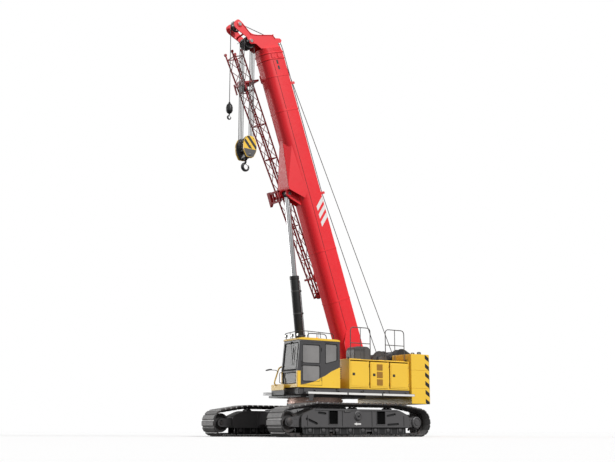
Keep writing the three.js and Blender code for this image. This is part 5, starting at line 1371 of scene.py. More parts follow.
def make_winch(name, body, node, centre, barrel, flange):
    """A winch drum: pierced flanges, a barrel, and a layer of wound rope."""
    kit = Kit()
    x, z = centre
    for side in (-1, 1):
        y0, y1 = sorted((side * 0.380, side * 0.415))
        holes = [circle(x + flange * 0.80 * cos(a), z + flange * 0.80 * sin(a), 0.020, 10)
                 for a in (2 * pi * k / 10 for k in range(10))]
        kit.prism(circle(x, z, flange, 48), y0, y1, "y", "charcoal", holes=holes)
        kit.lathe(symmetric([(flange - 0.012, -0.006), (flange + 0.004, -0.006)]), (x, side * 0.3975, z),
                  ACROSS, "grey", 48, ring=True)
        kit.lathe([(0, 0), (0.125, 0), (0.118, 0.022), (0, 0.026)], (x, side * 0.415, z), (0, side, 0),
                  "grey", 28)
        kit.bolt_circle((x, side * 0.415, z), (0, side, 0), 0.150, 10, 0.012, 0.014)
        kit.rod((x, side * 0.41, z), (x, side * 0.470, z), 0.059, "zinc", 20)
    wraps = 30
    profile = [(0.010, -0.380)]
    for k in range(wraps):
        y = -0.372 + 0.744 * (k + 0.5) / wraps
        half = 0.372 / wraps
        profile += [(barrel - 0.004, y - half), (barrel + 0.005, y - half * 0.5), (barrel + 0.008, y),
                    (barrel + 0.005, y + half * 0.5)]
    profile += [(barrel - 0.004, 0.372), (0.010, 0.380)]
    kit.lathe(profile, (x, 0, z), ACROSS, "rope", 40)
    kit.piece(name, body, (node,), smooth=50)


make_winch("main_winch_spool", "main_winch", "main_winch_drum", MAIN_WINCH, 0.222, 0.341)
make_winch("aux_winch_spool", "aux_winch", "aux_winch_drum", AUX_WINCH, 0.207, 0.316)

# the hoist lines over the boom, in its own frame
LINE_Z = 0.745
GUIDE = (6.400, LINE_Z)
LINE_END = 11.740
MAIN_LINE_Y = 0.060
AUX_LINE_Y = -0.060
MAIN_LAP, AUX_LAP = 0.240, 0.225  # radius of the wound rope on each drum
MAIN_TRAVEL, AUX_TRAVEL = 3.2, 2.3  # how far each hook rises on its falls


def winch_line(centre, lap, y, target):
    """From the tangent on a winch's rear side to a point of the boom."""
    goal = CRANE.inverted() @ BOOM @ Vector((target[0], 0, target[1]))
    x, z = centre
    way = Vector((goal.x - x, goal.z - z))
    turn = acos(lap / way.length)
    angle = atan2(way.y, way.x) + turn
    start = Vector((x + lap * cos(angle), y, z + lap * sin(angle)))
    return CRANE @ start, CRANE @ Vector((goal.x, y, goal.z))


def stretched(name, paths):
    """Straight ropes between pairs of points, made as one mesh in the world's frame."""
    kit = Kit(WORLD)
    for start, stop in paths:
        kit.tube([start, stop], ROPE_R, "rope_along", 10)
    mesh = bpy.data.meshes.new(name)
    mesh.from_pydata(kit.points, [], kit.faces)
    mesh.materials.append(MATERIALS["rope_along"])
    mesh.shade_smooth()
    rope = bpy.data.objects.new(name, mesh)
    bpy.context.scene.collection.objects.link(rope)
    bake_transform(rope)


def make_hoist_lines():
    for name, winch, lap, y, target in (
        ("main_hoist_line", MAIN_WINCH, MAIN_LAP, MAIN_LINE_Y, GUIDE),
        ("aux_hoist_line", AUX_WINCH, AUX_LAP, AUX_LINE_Y, (LINE_END, LINE_Z)),
    ):
        start, stop = winch_line(winch, lap, y, target)
        stretched(name, [(start, stop)])
    kit = Kit(BOOM)
    kit.tube([(GUIDE[0], MAIN_LINE_Y, LINE_Z), (LINE_END, MAIN_LINE_Y, LINE_Z)], ROPE_R, "rope_along", 10)
    kit.piece("base_hoist_line", "boom_base", smooth=60)
    bodies = ["boom_base"] + [f"boom_section_{k}" for k in (2, 3, 4, 5)]
    for k, (near, far) in enumerate(zip(bodies, bodies[1:])):
        u0, u1 = LINE_END + 0.05 * k, LINE_END + 0.05 * (k + 1)
        paths = [(BOOM @ Vector((u0, y, LINE_Z)), BOOM @ Vector((u1, y, LINE_Z)))
                 for y in (MAIN_LINE_Y, AUX_LINE_Y)]
        stretched(f"hoist_lines_{k + 2}",
                  paths)
    kit = Kit(BOOM)
    mx, mz = MAIN_SHEAVE
    ax, az = AUX_SHEAVE
    u = LINE_END + 0.20
    roller = (mx - 0.06, 0.640)
    over = [(roller[0] + 0.066 * cos(a), roller[1] + 0.066 * sin(a))
            for a in (radians(d) for d in (90, 60, 30, 8))]
    down = [(x, MAIN_LINE_Y, z) for x, z in over] + [(mx + 0.150, 0.050, 0.28), (mx + 0.160, 0.048, -0.36),
                                                     (mx + 0.170, 0.048, mz + 0.13)]
    kit.tube([(u, MAIN_LINE_Y, LINE_Z), (roller[0] - 0.20, MAIN_LINE_Y, LINE_Z - 0.012)] + down, ROPE_R,
             "rope_along", 10)
    out = [(x, AUX_LINE_Y, z) for x, z in over[:3]]
    wrap = [(ax + 0.190 * cos(radians(d)), 0, az + 0.190 * sin(radians(d))) for d in (28, 8, -14, -36, -58)]
    kit.tube([(u, AUX_LINE_Y, LINE_Z), (roller[0] - 0.20, AUX_LINE_Y, LINE_Z - 0.012)] + out + wrap, ROPE_R,
             "rope_along", 10)
    kit.piece("head_hoist_lines", "boom_section_5", smooth=60)


def make_falls():
    """The falls hang from the head's sheaves down to the hook blocks; the laps of rope go round the head's
    sheaves.
    """
    main_ropes = [(HEAD.x + way * FALL_SPREAD, y) for y in MAIN_OFFSETS for way in (-1, 1)]
    aux_ropes = [(AUX_FALL_X, 0)]
    for name, body, node, joint, ropes, low, fixed, travel in (
        ("main_rope_falls", "main_falls", "main_falls", "main_hoist", main_ropes, BLOCK_TOP, HEAD.z - 0.245,
         MAIN_TRAVEL),
        ("aux_rope_fall", "aux_fall", "aux_fall", "aux_hoist", aux_ropes, AUX_TOP, AUX_HEAD.z - 0.060,
         AUX_TRAVEL),
    ):
        kit = Kit(WORLD)
        for x, y in ropes:
            kit.tube([(x, y, low + (fixed - low) * k / 24) for k in range(25)], ROPE_R, "rope", 10)
        falls = kit.piece(name, body, (node,), smooth=60)
        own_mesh(falls)
    kit = Kit(WORLD)
    for y in MAIN_OFFSETS:
        lap = arc_points(HEAD.x, HEAD.z, FALL_SPREAD, 0, 180, 20)
        kit.tube([(HEAD.x + FALL_SPREAD, y, HEAD.z - 0.246)] + [(x, y, z) for x,
                                                                z in lap] + [(HEAD.x - FALL_SPREAD, y,
                                                                        HEAD.z - 0.246)], ROPE_R, "rope",
                                                                        10)
    kit.piece("main_rope_laps", "main_falls", smooth=60)
    kit = Kit(WORLD)
    lap = arc_points(AUX_HEAD.x, AUX_HEAD.z, 0.199, 0, 70, 9)
    kit.tube([(AUX_FALL_X, 0, AUX_HEAD.z - 0.062)] + [(x, 0, z) for x, z in lap], ROPE_R, "rope", 10)
    kit.piece("aux_rope_lap", "aux_fall", smooth=60)


make_hoist_lines()
make_falls()


def hook_shape(kit, x, top, bottom, thickness, radius):
    """A forged hook: a shank, a round throat that tapers to its tip, and a spring latch."""
    height = top - bottom
    bowl = radius - thickness * 0.5
    centre = (x, bottom + radius)
    path, sizes = [(x, 0, top)], [thickness * 0.42]
    path.append((x, 0, centre[1] + bowl * 1.35))
    sizes.append(thickness * 0.42)
    for k in range(29):
        share = k / 28
        angle = radians(75 - 270 * share)
        path.append((centre[0] + bowl * cos(angle), 0, centre[1] + bowl * sin(angle)))
        sizes.append(thickness * (0.44 + 0.20 * sin(pi * min(1, share * 1.5)) - 0.27 * max(0,
                share - 0.55)))
    tip = Vector(path[-1]) + Vector((0.02 * height, 0, 0.10 * height))
    path.append(tuple(tip))
    sizes.append(thickness * 0.16)
    kit.tube(path, sizes, "black", 16)
    kit.rod((x + thickness * 0.2, 0, centre[1] + bowl * 1.15),
            (path[-2][0] + 0.02 * height, 0, path[-2][2]), thickness * 0.10, "zinc", 8)


HAZARD_SLOPE = -0.85


def make_hooks():
    kit = Kit(WORLD)
    x = HEAD.x
    outline = [(x - 0.130, 9.63), (x + 0.130, 9.63), (x + 0.270, 9.89), (x + 0.270, 10.17),
               (x + 0.150, 10.41), (x - 0.150, 10.41), (x - 0.270, 10.17), (x - 0.270, 9.89)]
    outline = rounded(outline, [0.05, 0.05, 0.12, 0.12, 0.08, 0.08, 0.12, 0.12], 5)
    for y0, y1 in ((-0.300, -0.256), (0.256, 0.300)):
        kit.prism(outline, y0, y1, "y", "yellow")
    for y0, y1 in ((-0.205, -0.190), (0.190, 0.205)):
        kit.prism([(px * 0.995 + x * 0.005, pz) for px, pz in outline], y0, y1, "y", "grey")
    # black bands aslant over the upper half of each cheek, grey plate below
    for side in (-1, 1):
        y0, y1 = sorted((side * 0.300, side * 0.3015))
        face = [(x + (px - x) * 0.975, 10.02 + (pz - 10.02) * 0.975) for px, pz in outline]
        upper = clipped(face, 0, -1, -9.95)
        for start in (-0.215, 0.045):
            low = x + start + HAZARD_SLOPE * 10.11
            kit.prism(stripe(upper, HAZARD_SLOPE, low, low + 0.13), y0, y1, "y", "black")
        kit.prism(clipped(face, 0, 1, 9.93), y0, y1, "y", "grey")
        kit.lathe([(0, 0), (0.055, 0), (0.052, 0.012), (0, 0.014)], (x, side * 0.300, 10.11), (0, side, 0),
                  "yellow", 24)
        kit.bolt((x, side * 0.300, 9.725), (0, side, 0), 0.055, 0.018, "grey")
    for y in MAIN_OFFSETS:
        sheave(kit, x, y, 10.110, 0.225, 0.050, "grey")
        lap = arc_points(x, 10.110, FALL_SPREAD, 180, 360, 20)
        kit.tube([(x - FALL_SPREAD, y, BLOCK_TOP + 0.01)] + [(px, y, pz) for px,
                                                             pz in lap] + [(x + FALL_SPREAD, y,
                                                                     BLOCK_TOP + 0.01)], ROPE_R, "rope", 10)
    kit.pin(x, 10.110, 0.300, 0.058, "zinc", 20)
    for z in (10.33, 9.92):
        for dx in (-0.14, 0.14):
            kit.pin(x + dx, z, 0.300, 0.016, "zinc", 10)
    kit.prism(soft_rectangle(x - 0.105, x + 0.105, 9.652, 9.798, 0.02), -0.256, 0.256, "y", "charcoal")
    kit.piece("main_block_cheeks", "main_block", ("main_hook_block",), bevel=0.003, smooth=32)

    kit = Kit(WORLD)
    hook_shape(kit, x, 9.648, 9.165, 0.090, 0.172)
    kit.turned([(0.062, 9.60), (0.066, 9.61), (0.066, 9.648)], (x, 0, 0), UP, "charcoal", 24)
    kit.piece("main_hook_forging", "main_block", ("main_hook",), smooth=50)

    kit = Kit(WORLD)
    x = AUX_FALL_X
    kit.turned([(0.050, 11.195), (0.085, 11.215), (0.112, 11.27), (0.119, 11.34), (0.117, 11.43),
                (0.098, 11.50), (0.060, 11.545), (0.036, 11.57), (0.030, 11.618)], (x, 0, 0), UP, "black",
                36)
    for z in (11.30, 11.40):
        kit.lathe([(0.116, z - 0.006), (0.1235, z - 0.003), (0.1235, z + 0.003), (0.116, z + 0.006)],
                  (x, 0, 0), UP, "charcoal", 36, ring=True)
    kit.lathe([(0, 11.170), (0.034, 11.170), (0.040, 11.180), (0.040, 11.200), (0, 11.205)], (x, 0, 0), UP,
              "charcoal", 20)
    hook_shape(kit, x, 11.20, 10.953, 0.050, 0.088)
    kit.piece("aux_hook_weight", "aux_hook", ("aux_hook",), smooth=45)


make_hooks()

# ---------------------------------------------------------------- deck, catwalks, front skirt



def make_deck():
    kit = Kit()
    # a light channel along each deck edge, and brackets under the catwalks
    for side in (-1, 1):
        y0, y1 = sorted((side * 1.482, side * 1.505))
        for x0, x1 in ((-3.08, -2.18), (-2.12, -1.02), (-0.96, 0.14), (0.20, 1.52 if side > 0 else 0.52)):
            kit.prism(soft_rectangle(x0, x1, 1.475, 1.600, 0.02), y0, y1, "y", "grey")
        for x in (-2.9, -1.9, -0.9, 0.1, 1.1)[:5 if side > 0 else 4]:
            kit.prism([(side * 1.50, 1.452), (side * 1.74, 1.452), (side * 1.50, 1.56)], x - 0.01, x + 0.01,
                      "x", "charcoal")
        # bearing caps on the cheeks
        for x, z, r in ((BOOM_FOOT[0], BOOM_FOOT[1], 0.16), (MAIN_WINCH[0], MAIN_WINCH[1], 0.12),
                        (AUX_WINCH[0], AUX_WINCH[1], 0.11), (0.47, 1.80, 0.13)):
            kit.lathe([(0.082, 0.0), (r, 0.0), (r, 0.014), (r - 0.014, 0.020), (0.082, 0.020)],
                      (x, side * 0.4715, z), (0, side, 0), "grey", 32, ring=True)
    kit.box(1.700, 1.716, -0.16, 1.44, 1.42, 1.60, "grey")
    # winch motors on the cheeks
    for (x, z), r in ((MAIN_WINCH, 0.13), (AUX_WINCH, 0.11)):
        kit.turned([(r, 0.472), (r, 0.492), (r * 0.9, 0.500), (r * 0.9, 0.512)], (x, 0, z), ACROSS, "grey",
                   28)
        kit.bolt_circle((x, 0.492, z), ACROSS, r * 0.94, 8, 0.008, 0.010)
    kit.piece("deck_fittings", "superstructure", bevel=0.003)

    kit = Kit()
    for side in (-1, 1):
        edge = side * 1.7805
        for x0, x1 in ((-3.10, -1.66), (-1.60, -0.14), (-0.08, 1.54 if side > 0 else 0.54)):
            kit.prism(rectangle(x0, x1, 1.402, 1.470), edge, edge + side * 0.012, "y", "white")
        for k in range(58 if side > 0 else 45):
            x = -3.07 + 0.08 * k
            kit.box(x, x + 0.022, side * 1.50, side * 1.77, 1.450, 1.458, "charcoal")
    # steps up from the track, ahead of the left catwalk
    kit.prism(rounded([(1.30, 1.395), (1.52, 1.395), (1.47, 1.17), (1.35, 1.17)], 0.03), 1.765, 1.775, "y",
              "charcoal")
    for z in (1.18, 1.29):
        kit.box(1.31, 1.50, 1.60, 1.78, z, z + 0.02, "charcoal")
    kit.piece("catwalk_edges", "superstructure", bevel=0.002)

    # front skirt ahead of the boom's foot
    kit = Kit()
    kit.prism(soft_rectangle(0.17, 0.94, 1.545, 1.740, 0.03), 1.930, 1.955, "x", "yellow")
    kit.prism(soft_rectangle(0.17, 0.94, 1.380, 1.545, 0.02), 1.925, 1.940, "x", "grey")
    for y in (0.22, 0.55, 0.88):
        kit.box(1.70, 1.93, y - 0.02, y + 0.02, 1.46, 1.52, "grey")
    for z in (1.405, 1.465):
        kit.tube(bent([(1.94, 0.19, z), (2.10, 0.12, z), (2.10, -0.12, z), (1.72, -0.12, z)], 0.03), 0.011,
                 "grey", 8)
    # slanting brace that carries the mirror
    kit.tube(bent([(1.70, 0.545, 2.36), (1.86, 0.50, 2.30), (2.03, 0.47, 1.78), (1.95, 0.47, 1.70)], 0.08),
             0.024, "yellow", 12)
    kit.tube(bent([(1.88, 0.495, 2.16), (2.00, 0.530, 2.215), (2.22, 0.530, 2.215)], 0.05), 0.010, "black",
             8)
    kit.lathe([(0, 0), (0.110, 0), (0.116, 0.010), (0.100, 0.030), (0.05, 0.042), (0, 0.044)],
              (2.29, 0.535, 2.200), (0.2, 0, 1), "black", 28)
    kit.turned([(0.104, -0.003), (0.104, 0)], (2.29, 0.535, 2.200), (0.2, 0, 1), "chrome", 28)
    kit.tube(bent([(1.815, 0.60, 1.78), (1.90, 0.60, 1.80), (1.90, 0.60, 2.12), (1.815, 0.60, 2.14)], 0.04),
             0.012, "zinc", 8)
    kit.piece("front_skirt", "superstructure", bevel=0.003)


make_deck()

# ---------------------------------------------------------------- cab

CAB_REAR, CAB_FRONT = 0.038, 1.807
CAB_RIGHT, CAB_LEFT = 0.572, 1.540
CAB_LOW, CAB_HIGH = 1.6205, 3.2005
SILL, HEAD_LINE = 2.1805, 3.1105
RAKE = 0.110
DOOR = (0.806, 1.674, 1.6965, 3.1245)
PLATE = 0.045  # wall of the cab


def cab_front(z):
    """Where the cab's front stands at a height: upright below the sill, raked above it."""
    return CAB_FRONT - RAKE * max(0.0, z - SILL) / (CAB_HIGH - SILL)


def front_panel(kit, y0, y1, z0, z1, material, holes=()):
    """A plate on the cab's front, on its upright or raked part, from (y, z) outlines."""
    rows = [rectangle(y0, y1, z0, z1)] + [list(h) for h in holes]
    points = [(cab_front(z) - depth, y, z) for depth in (0.0, PLATE) for loop in rows for y, z in loop]
    size = len(points) // 2
    triangles = [list(t) for t in tessellate_polygon([[Vector((*p, 0)) for p in loop] for loop in rows])]
    faces = triangles + [[size + i for i in t] for t in triangles]
    start = 0
    for loop in rows:
        n = len(loop)
        faces.extend([start + i, start + (i + 1) % n, size + start + (i + 1) % n, size + start + i]
                     for i in range(n))
        start += n
    kit.add(points, faces, material)


def seal(kit, outline, y, radius=0.011):
    """A rubber seal round a side window, from its (x, z) outline."""
    kit.tube([(x, y, z) for x, z in outline], radius, "rubber", 8, closed=True)


def swoosh(x):
    """Height of the line between the yellow foot and the charcoal frame, along the cab's side."""
    marks = [(-0.1, 2.34), (0.02, 2.33), (0.35, 2.20), (0.72, 2.00), (1.17, 1.80), (1.55, 1.72),
             (1.85, 1.70)]
    for (x0, z0), (x1, z1) in zip(marks, marks[1:]):
        if x <= x1:
            t = (x - x0) / (x1 - x0)
            t = t * t * (3 - 2 * t) * 0.3 + t * 0.7
            return z0 + t * (z1 - z0)
    return marks[-1][1]


def make_cab():
    kit = Kit()
    quarter = rounded([(0.158, 2.5605), (0.650, 2.4305), (0.650, HEAD_LINE), (0.158, HEAD_LINE)], 0.05, 6)
    right_hole = soft_rectangle(0.188, 1.557, 2.2405, HEAD_LINE, 0.06, 6)
    rear_hole = soft_rectangle(0.652, 1.460, 2.5605, HEAD_LINE, 0.06, 6)
    foot_hole = soft_rectangle(0.652, 1.460, 1.7505, 2.1105, 0.06, 6)
    screen_hole = soft_rectangle(0.652, 1.460, SILL + 0.012, HEAD_LINE, 0.07, 6)
    # left wall: a panel behind the door, a strip over and under it, a post ahead of it
    rear_wall = [(CAB_REAR, CAB_LOW), (DOOR[0], CAB_LOW), (DOOR[0], CAB_HIGH), (CAB_REAR, CAB_HIGH)]
    kit.prism(rear_wall, CAB_LEFT - PLATE, CAB_LEFT, "y", "charcoal", holes=[quarter])
    above = [
        (DOOR[0], DOOR[3] + 0.003), (cab_front(DOOR[3]), DOOR[3] + 0.003),
        (cab_front(CAB_HIGH), CAB_HIGH), (DOOR[0], CAB_HIGH),
    ]
    below = rectangle(DOOR[0], CAB_FRONT, CAB_LOW, DOOR[2] - 0.003)
    post = [
        (DOOR[1] + 0.004, DOOR[2]), (CAB_FRONT, DOOR[2]), (CAB_FRONT, SILL),
        (cab_front(DOOR[3]), DOOR[3]), (DOOR[1] + 0.004, DOOR[3]),
    ]
    for outline in (above, below, post):
        kit.prism(outline, CAB_LEFT - PLATE, CAB_LEFT, "y", "charcoal")
    # right wall with its long window
    right = [(CAB_REAR, CAB_LOW), (CAB_FRONT, CAB_LOW), (CAB_FRONT, SILL), (cab_front(CAB_HIGH), CAB_HIGH),
             (CAB_REAR, CAB_HIGH)]
    kit.prism(right, CAB_RIGHT, CAB_RIGHT + PLATE, "y", "charcoal", holes=[right_hole])
    # rear wall, floor, front
    kit.prism(rectangle(CAB_RIGHT + PLATE, CAB_LEFT - PLATE, CAB_LOW, CAB_HIGH), CAB_REAR, CAB_REAR + PLATE,
              "x", "charcoal", holes=[rear_hole])
    kit.box(CAB_REAR + PLATE, CAB_FRONT - PLATE, CAB_RIGHT + PLATE, CAB_LEFT - PLATE, CAB_LOW,
            CAB_LOW + 0.048, "charcoal")
    front_panel(kit, CAB_RIGHT + PLATE, CAB_LEFT - PLATE, CAB_LOW, SILL, "charcoal", holes=[foot_hole])
    front_panel(kit, CAB_RIGHT + PLATE, CAB_LEFT - PLATE, SILL, CAB_HIGH, "charcoal", holes=[screen_hole])
    kit.piece("cab_frame", "superstructure", ("cab_shell",), bevel=0.004, smooth=30)

    # raised yellow foot whose upper edge sweeps up to the rear, on the left and right walls
    kit = Kit()
    for face, way in ((CAB_LEFT, 1), (CAB_RIGHT, -1)):
        x0, x1 = (CAB_REAR, DOOR[0] - 0.006) if way > 0 else (CAB_REAR, CAB_FRONT - 0.002)
        steps = 18
        top = [(x0 + (x1 - x0) * k / steps, swoosh(x0 + (x1 - x0) * k / steps)) for k in range(steps + 1)]
        outline = [(x0, CAB_LOW + 0.002), (x1, CAB_LOW + 0.002)] + top[::-1]
        kit.prism(outline, face, face + way * 0.008, "y", "yellow")
    kit.prism(rectangle(DOOR[1] + 0.006, CAB_FRONT - 0.002, CAB_LOW + 0.002, SILL - 0.02), CAB_LEFT,
              CAB_LEFT + 0.008, "y", "yellow")
    kit.prism(rectangle(DOOR[0] - 0.006, DOOR[1] + 0.006, CAB_LOW + 0.002, DOOR[2] - 0.006), CAB_LEFT,
              CAB_LEFT + 0.008, "y", "yellow")
    kit.prism(rectangle(CAB_RIGHT, CAB_LEFT, CAB_LOW + 0.002, 2.33), CAB_REAR - 0.008, CAB_REAR, "x",
              "yellow")
    for y0, y1, z0, z1 in ((CAB_RIGHT, 0.640, CAB_LOW, 2.16), (1.472, CAB_LEFT, CAB_LOW, 2.16),
                           (0.640, 1.472, CAB_LOW, 1.738)):
        kit.prism(rectangle(y0, y1, z0, z1), CAB_FRONT, CAB_FRONT + 0.008, "x", "yellow")
    kit.piece("cab_foot_panels", "superstructure", bevel=0.003)

    kit = Kit()
    seal(kit, quarter, CAB_LEFT + 0.002)
    seal(kit, right_hole, CAB_RIGHT - 0.002)
    for hole in (screen_hole, foot_hole):
        kit.tube([(cab_front(z) + 0.002, y, z) for y, z in hole], 0.011, "rubber", 8, closed=True)
    kit.tube([(CAB_REAR - 0.002, y, z) for y, z in rear_hole], 0.011, "rubber", 8, closed=True)
    frame_hole = soft_rectangle(DOOR[0] + 0.004, DOOR[1] - 0.004, DOOR[2] + 0.004, DOOR[3] - 0.004, 0.02, 4)
    kit.tube([(x, CAB_LEFT - 0.046, z) for x, z in frame_hole], 0.006, "rubber", 6, closed=True)
    # windscreen bar, wiper and its motor
    kit.rod((CAB_FRONT + 0.016, 0.60, 2.215), (CAB_FRONT + 0.016, 1.515, 2.215), 0.013, "black", 10)
    pivot = Vector((cab_front(3.13) + 0.030, 1.056, 3.13))
    tip = Vector((cab_front(2.50) + 0.022, 1.22, 2.50))
    kit.rod(pivot, tip, 0.008, "black", 8)
    low, high = Vector((cab_front(2.36) + 0.016, 1.22, 2.36)), Vector((cab_front(2.98) + 0.016, 1.22, 2.98))
    kit.tube([low, tip, high], 0.009, "rubber", 6)
    kit.lathe([(0, -0.02), (0.030, -0.02), (0.026, 0.025), (0, 0.03)], pivot, AHEAD, "black", 16)
    kit.piece("cab_seals_and_wiper", "superstructure", smooth=45)

    # roof with a soft brow, its guard rail and lamps
    kit = Kit()
    outline = [(0.008, 3.203), (1.727, 3.203), (1.722, 3.246), (1.610, 3.289), (0.098, 3.271),
               (0.008, 3.237)]
    kit.prism(rounded(outline, [0.004, 0.01, 0.03, 0.08, 0.06, 0.02], 5), 0.546, 1.546, "y", "yellow",
              inset=0.022)
    for x0, x1 in ((0.20, 0.72), (0.84, 1.40)):
        kit.prism(soft_rectangle(x0, x1, 0.70, 1.39, 0.06, 5), 3.268, 3.292, "z", "yellow", inset=0.008)
    kit.piece("cab_roof_cap", "superstructure", ("cab_roof",), bevel=0.004, smooth=40)

    kit = Kit()
    rail = bent([(1.62, 0.60, 3.28), (1.70, 0.60, 3.46), (1.70, 1.46, 3.50), (1.42, 1.53, 3.50),
                 (0.30, 1.53, 3.46), (0.30, 1.53, 3.27)], 0.10)
    kit.tube(rail, 0.013, "black", 10)
    for x, y, z in ((1.66, 0.90, 3.47), (1.66, 1.25, 3.485), (1.35, 1.52, 3.50), (0.85, 1.52, 3.48)):
        kit.rod((x - 0.02, y, 3.26), (x + 0.02, y + 0.008, z), 0.010, "black", 8)
    for y in (0.66, 1.03, 1.40):
        kit.box(1.655, 1.715, y - 0.055, y + 0.055, 3.33, 3.42, "black")
        kit.box(1.715, 1.722, y - 0.045, y + 0.045, 3.34, 3.41, "lamp")
        kit.rod((1.66, y, 3.27), (1.68, y, 3.34), 0.010, "black", 8)
    kit.lathe([(0, 0), (0.055, 0), (0.055, 0.03), (0.045, 0.10), (0.02, 0.125), (0, 0.13)],
              (0.45, 0.75, 3.272), UP, "amber", 24)
    kit.turned([(0.062, 0), (0.062, 0.014)], (0.45, 0.75, 3.270), UP, "black", 24)
    kit.rod((0.30, 0.66, 3.27), (0.30, 0.66, 3.62), 0.006, "black", 6)
    kit.piece("cab_roof_rail", "superstructure", smooth=40)

    # fittings inside: floor mat, consoles with levers, instrument pod, pedals
    kit = Kit()
    kit.box(CAB_REAR + 0.06, CAB_FRONT - 0.06, CAB_RIGHT + 0.06, CAB_LEFT - 0.06, CAB_LOW + 0.049,
            CAB_LOW + 0.058, "grip")
    for y in (0.775, 1.337):
        kit.prism(rounded([(0.56, 2.00), (0.98, 2.00), (1.06, 2.28), (1.04, 2.33), (0.56, 2.31)], 0.04),
                  y - 0.052, y + 0.052, "y", "lining")
        kit.prism(soft_rectangle(0.66, 0.88, 1.69, 2.01, 0.03), y - 0.035, y + 0.035, "y", "lining")
        kit.tube([(0.98, y, 2.32), (0.985, y, 2.38), (1.00, y, 2.45)], [0.011, 0.010, 0.012], "black", 10)
        kit.lathe([(0, 0), (0.022, 0.004), (0.028, 0.03), (0.022, 0.06), (0, 0.066)], (1.00, y, 2.435),
                  (0.15, 0, 1), "rubber", 16)
        for k in range(3):
            kit.lathe([(0, 0), (0.010, 0), (0.009, 0.012), (0, 0.013)], (0.66 + 0.07 * k, y, 2.315), UP,
                      "zinc", 10)
    kit.tube([(1.60, 0.74, 1.68), (1.58, 0.74, 2.20), (1.52, 0.76, 2.42)], 0.020, "lining", 10)
    kit.prism(soft_rectangle(0.66, 0.90, 2.38, 2.60, 0.03), 1.50, 1.54, "x", "lining", inset=0.006)
    kit.prism(soft_rectangle(0.68, 0.88, 2.40, 2.58, 0.01), 1.494, 1.500, "x", "glass")
    for y in (0.96, 1.15):
        kit.prism(rounded([(1.50, 1.69), (1.66, 1.82), (1.64, 1.84), (1.47, 1.70)], 0.008), y - 0.045,
                  y + 0.045, "y", "grip")
    kit.prism(rectangle(CAB_REAR + PLATE + 0.001, CAB_REAR + PLATE + 0.012, 1.70, 2.53), CAB_RIGHT + 0.06,
              CAB_LEFT - 0.06, "y", "lining")
    kit.piece("cab_inside", "superstructure", bevel=0.002)

    make_cab_door()


def make_cab_door():
    kit = Kit()
    x0, x1, z0, z1 = DOOR
    upper = soft_rectangle(0.881, 1.599, 2.434, 3.0495, 0.06, 6)
    lower = soft_rectangle(0.881, 1.599, 1.8315, 2.359, 0.06, 6)
    kit.prism(soft_rectangle(x0, x1, z0, z1, 0.02), CAB_LEFT - 0.048, CAB_LEFT, "y", "charcoal",
              holes=[upper, lower])
    steps = 16
    top = [(x0 + 0.006 + (x1 - x0 - 0.012) * k / steps, swoosh(x0 + (x1 - x0) * k / steps))
           for k in range(steps + 1)]
    kit.prism([(x0 + 0.006, z0 + 0.006), (x1 - 0.006, z0 + 0.006)] + top[::-1], CAB_LEFT, CAB_LEFT + 0.008,
              "y", "yellow")
    for hole in (upper, lower):
        seal(kit, hole, CAB_LEFT + 0.002, 0.010)
    kit.tube(bent([(x1 - 0.045, CAB_LEFT, 2.48), (x1 - 0.045, CAB_LEFT + 0.038, 2.48),
                   (x1 - 0.045, CAB_LEFT + 0.038, 2.32), (x1 - 0.045, CAB_LEFT, 2.32)], 0.015), 0.009,
                   "black", 8)
    for z in (1.90, 2.90):
        kit.rod((x0 + 0.012, CAB_LEFT + 0.006, z - 0.06), (x0 + 0.012, CAB_LEFT + 0.006, z + 0.06), 0.011,
                "black", 10)
    kit.piece("cab_door_leaf", "cab_door", ("cab_door",), bevel=0.003, smooth=30)


make_cab()

# ---------------------------------------------------------------- seat

CLOTH_VOXEL = 0.010
CLOTH_PRESSURE = 4.0
CLOTH_FRAMES = 15
CLOTH_SWELL = 0.022  # how far the cloth may move out from the cushion's first shape


def puffed(name, outline, low, high, node):
    """A cushion from its (x, z) side outline: remeshed, then swollen by cloth pressure."""
    kit = Kit()
    kit.prism(rounded(outline, 0.035, 5), low, high, "y", "cloth", inset=0.018)
    cushion = kit.piece(name, "superstructure", smooth=180)
    bpy.context.view_layer.update()
    cushion.parent = None
    remesh = cushion.modifiers.new("remesh", "REMESH")
    remesh.mode = "VOXEL"
    remesh.voxel_size = CLOTH_VOXEL
    apply_modifiers(cushion)
    before = [v.co.copy() for v in cushion.data.vertices]
    cloth = cushion.modifiers.new("cloth", "CLOTH")
    cloth.settings.use_pressure = True
    cloth.settings.uniform_pressure_force = CLOTH_PRESSURE
    cloth.settings.effector_weights.gravity = 0.0
    cloth.settings.quality = 5
    for number in range(1, CLOTH_FRAMES + 1):
        bpy.context.scene.frame_set(number)
    apply_modifiers(cushion)
    for vertex, start in zip(cushion.data.vertices, before):
        moved = vertex.co - start
        if moved.length > CLOTH_SWELL:
            vertex.co = start + moved.normalized() * CLOTH_SWELL
    bpy.context.scene.frame_set(1)
    smooth = cushion.modifiers.new("smooth", "SUBSURF")
    smooth.levels = smooth.render_levels = 1
    apply_modifiers(cushion)
    cushion.data.shade_smooth()
    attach(cushion, "superstructure")
    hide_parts(node)


def apply_modifiers(piece):
    """Bakes the piece's modifiers into its mesh."""
    graph = bpy.context.evaluated_depsgraph_get()
    baked = bpy.data.meshes.new_from_object(piece.evaluated_get(graph), depsgraph=graph)
    piece.modifiers.clear()
    piece.data = baked


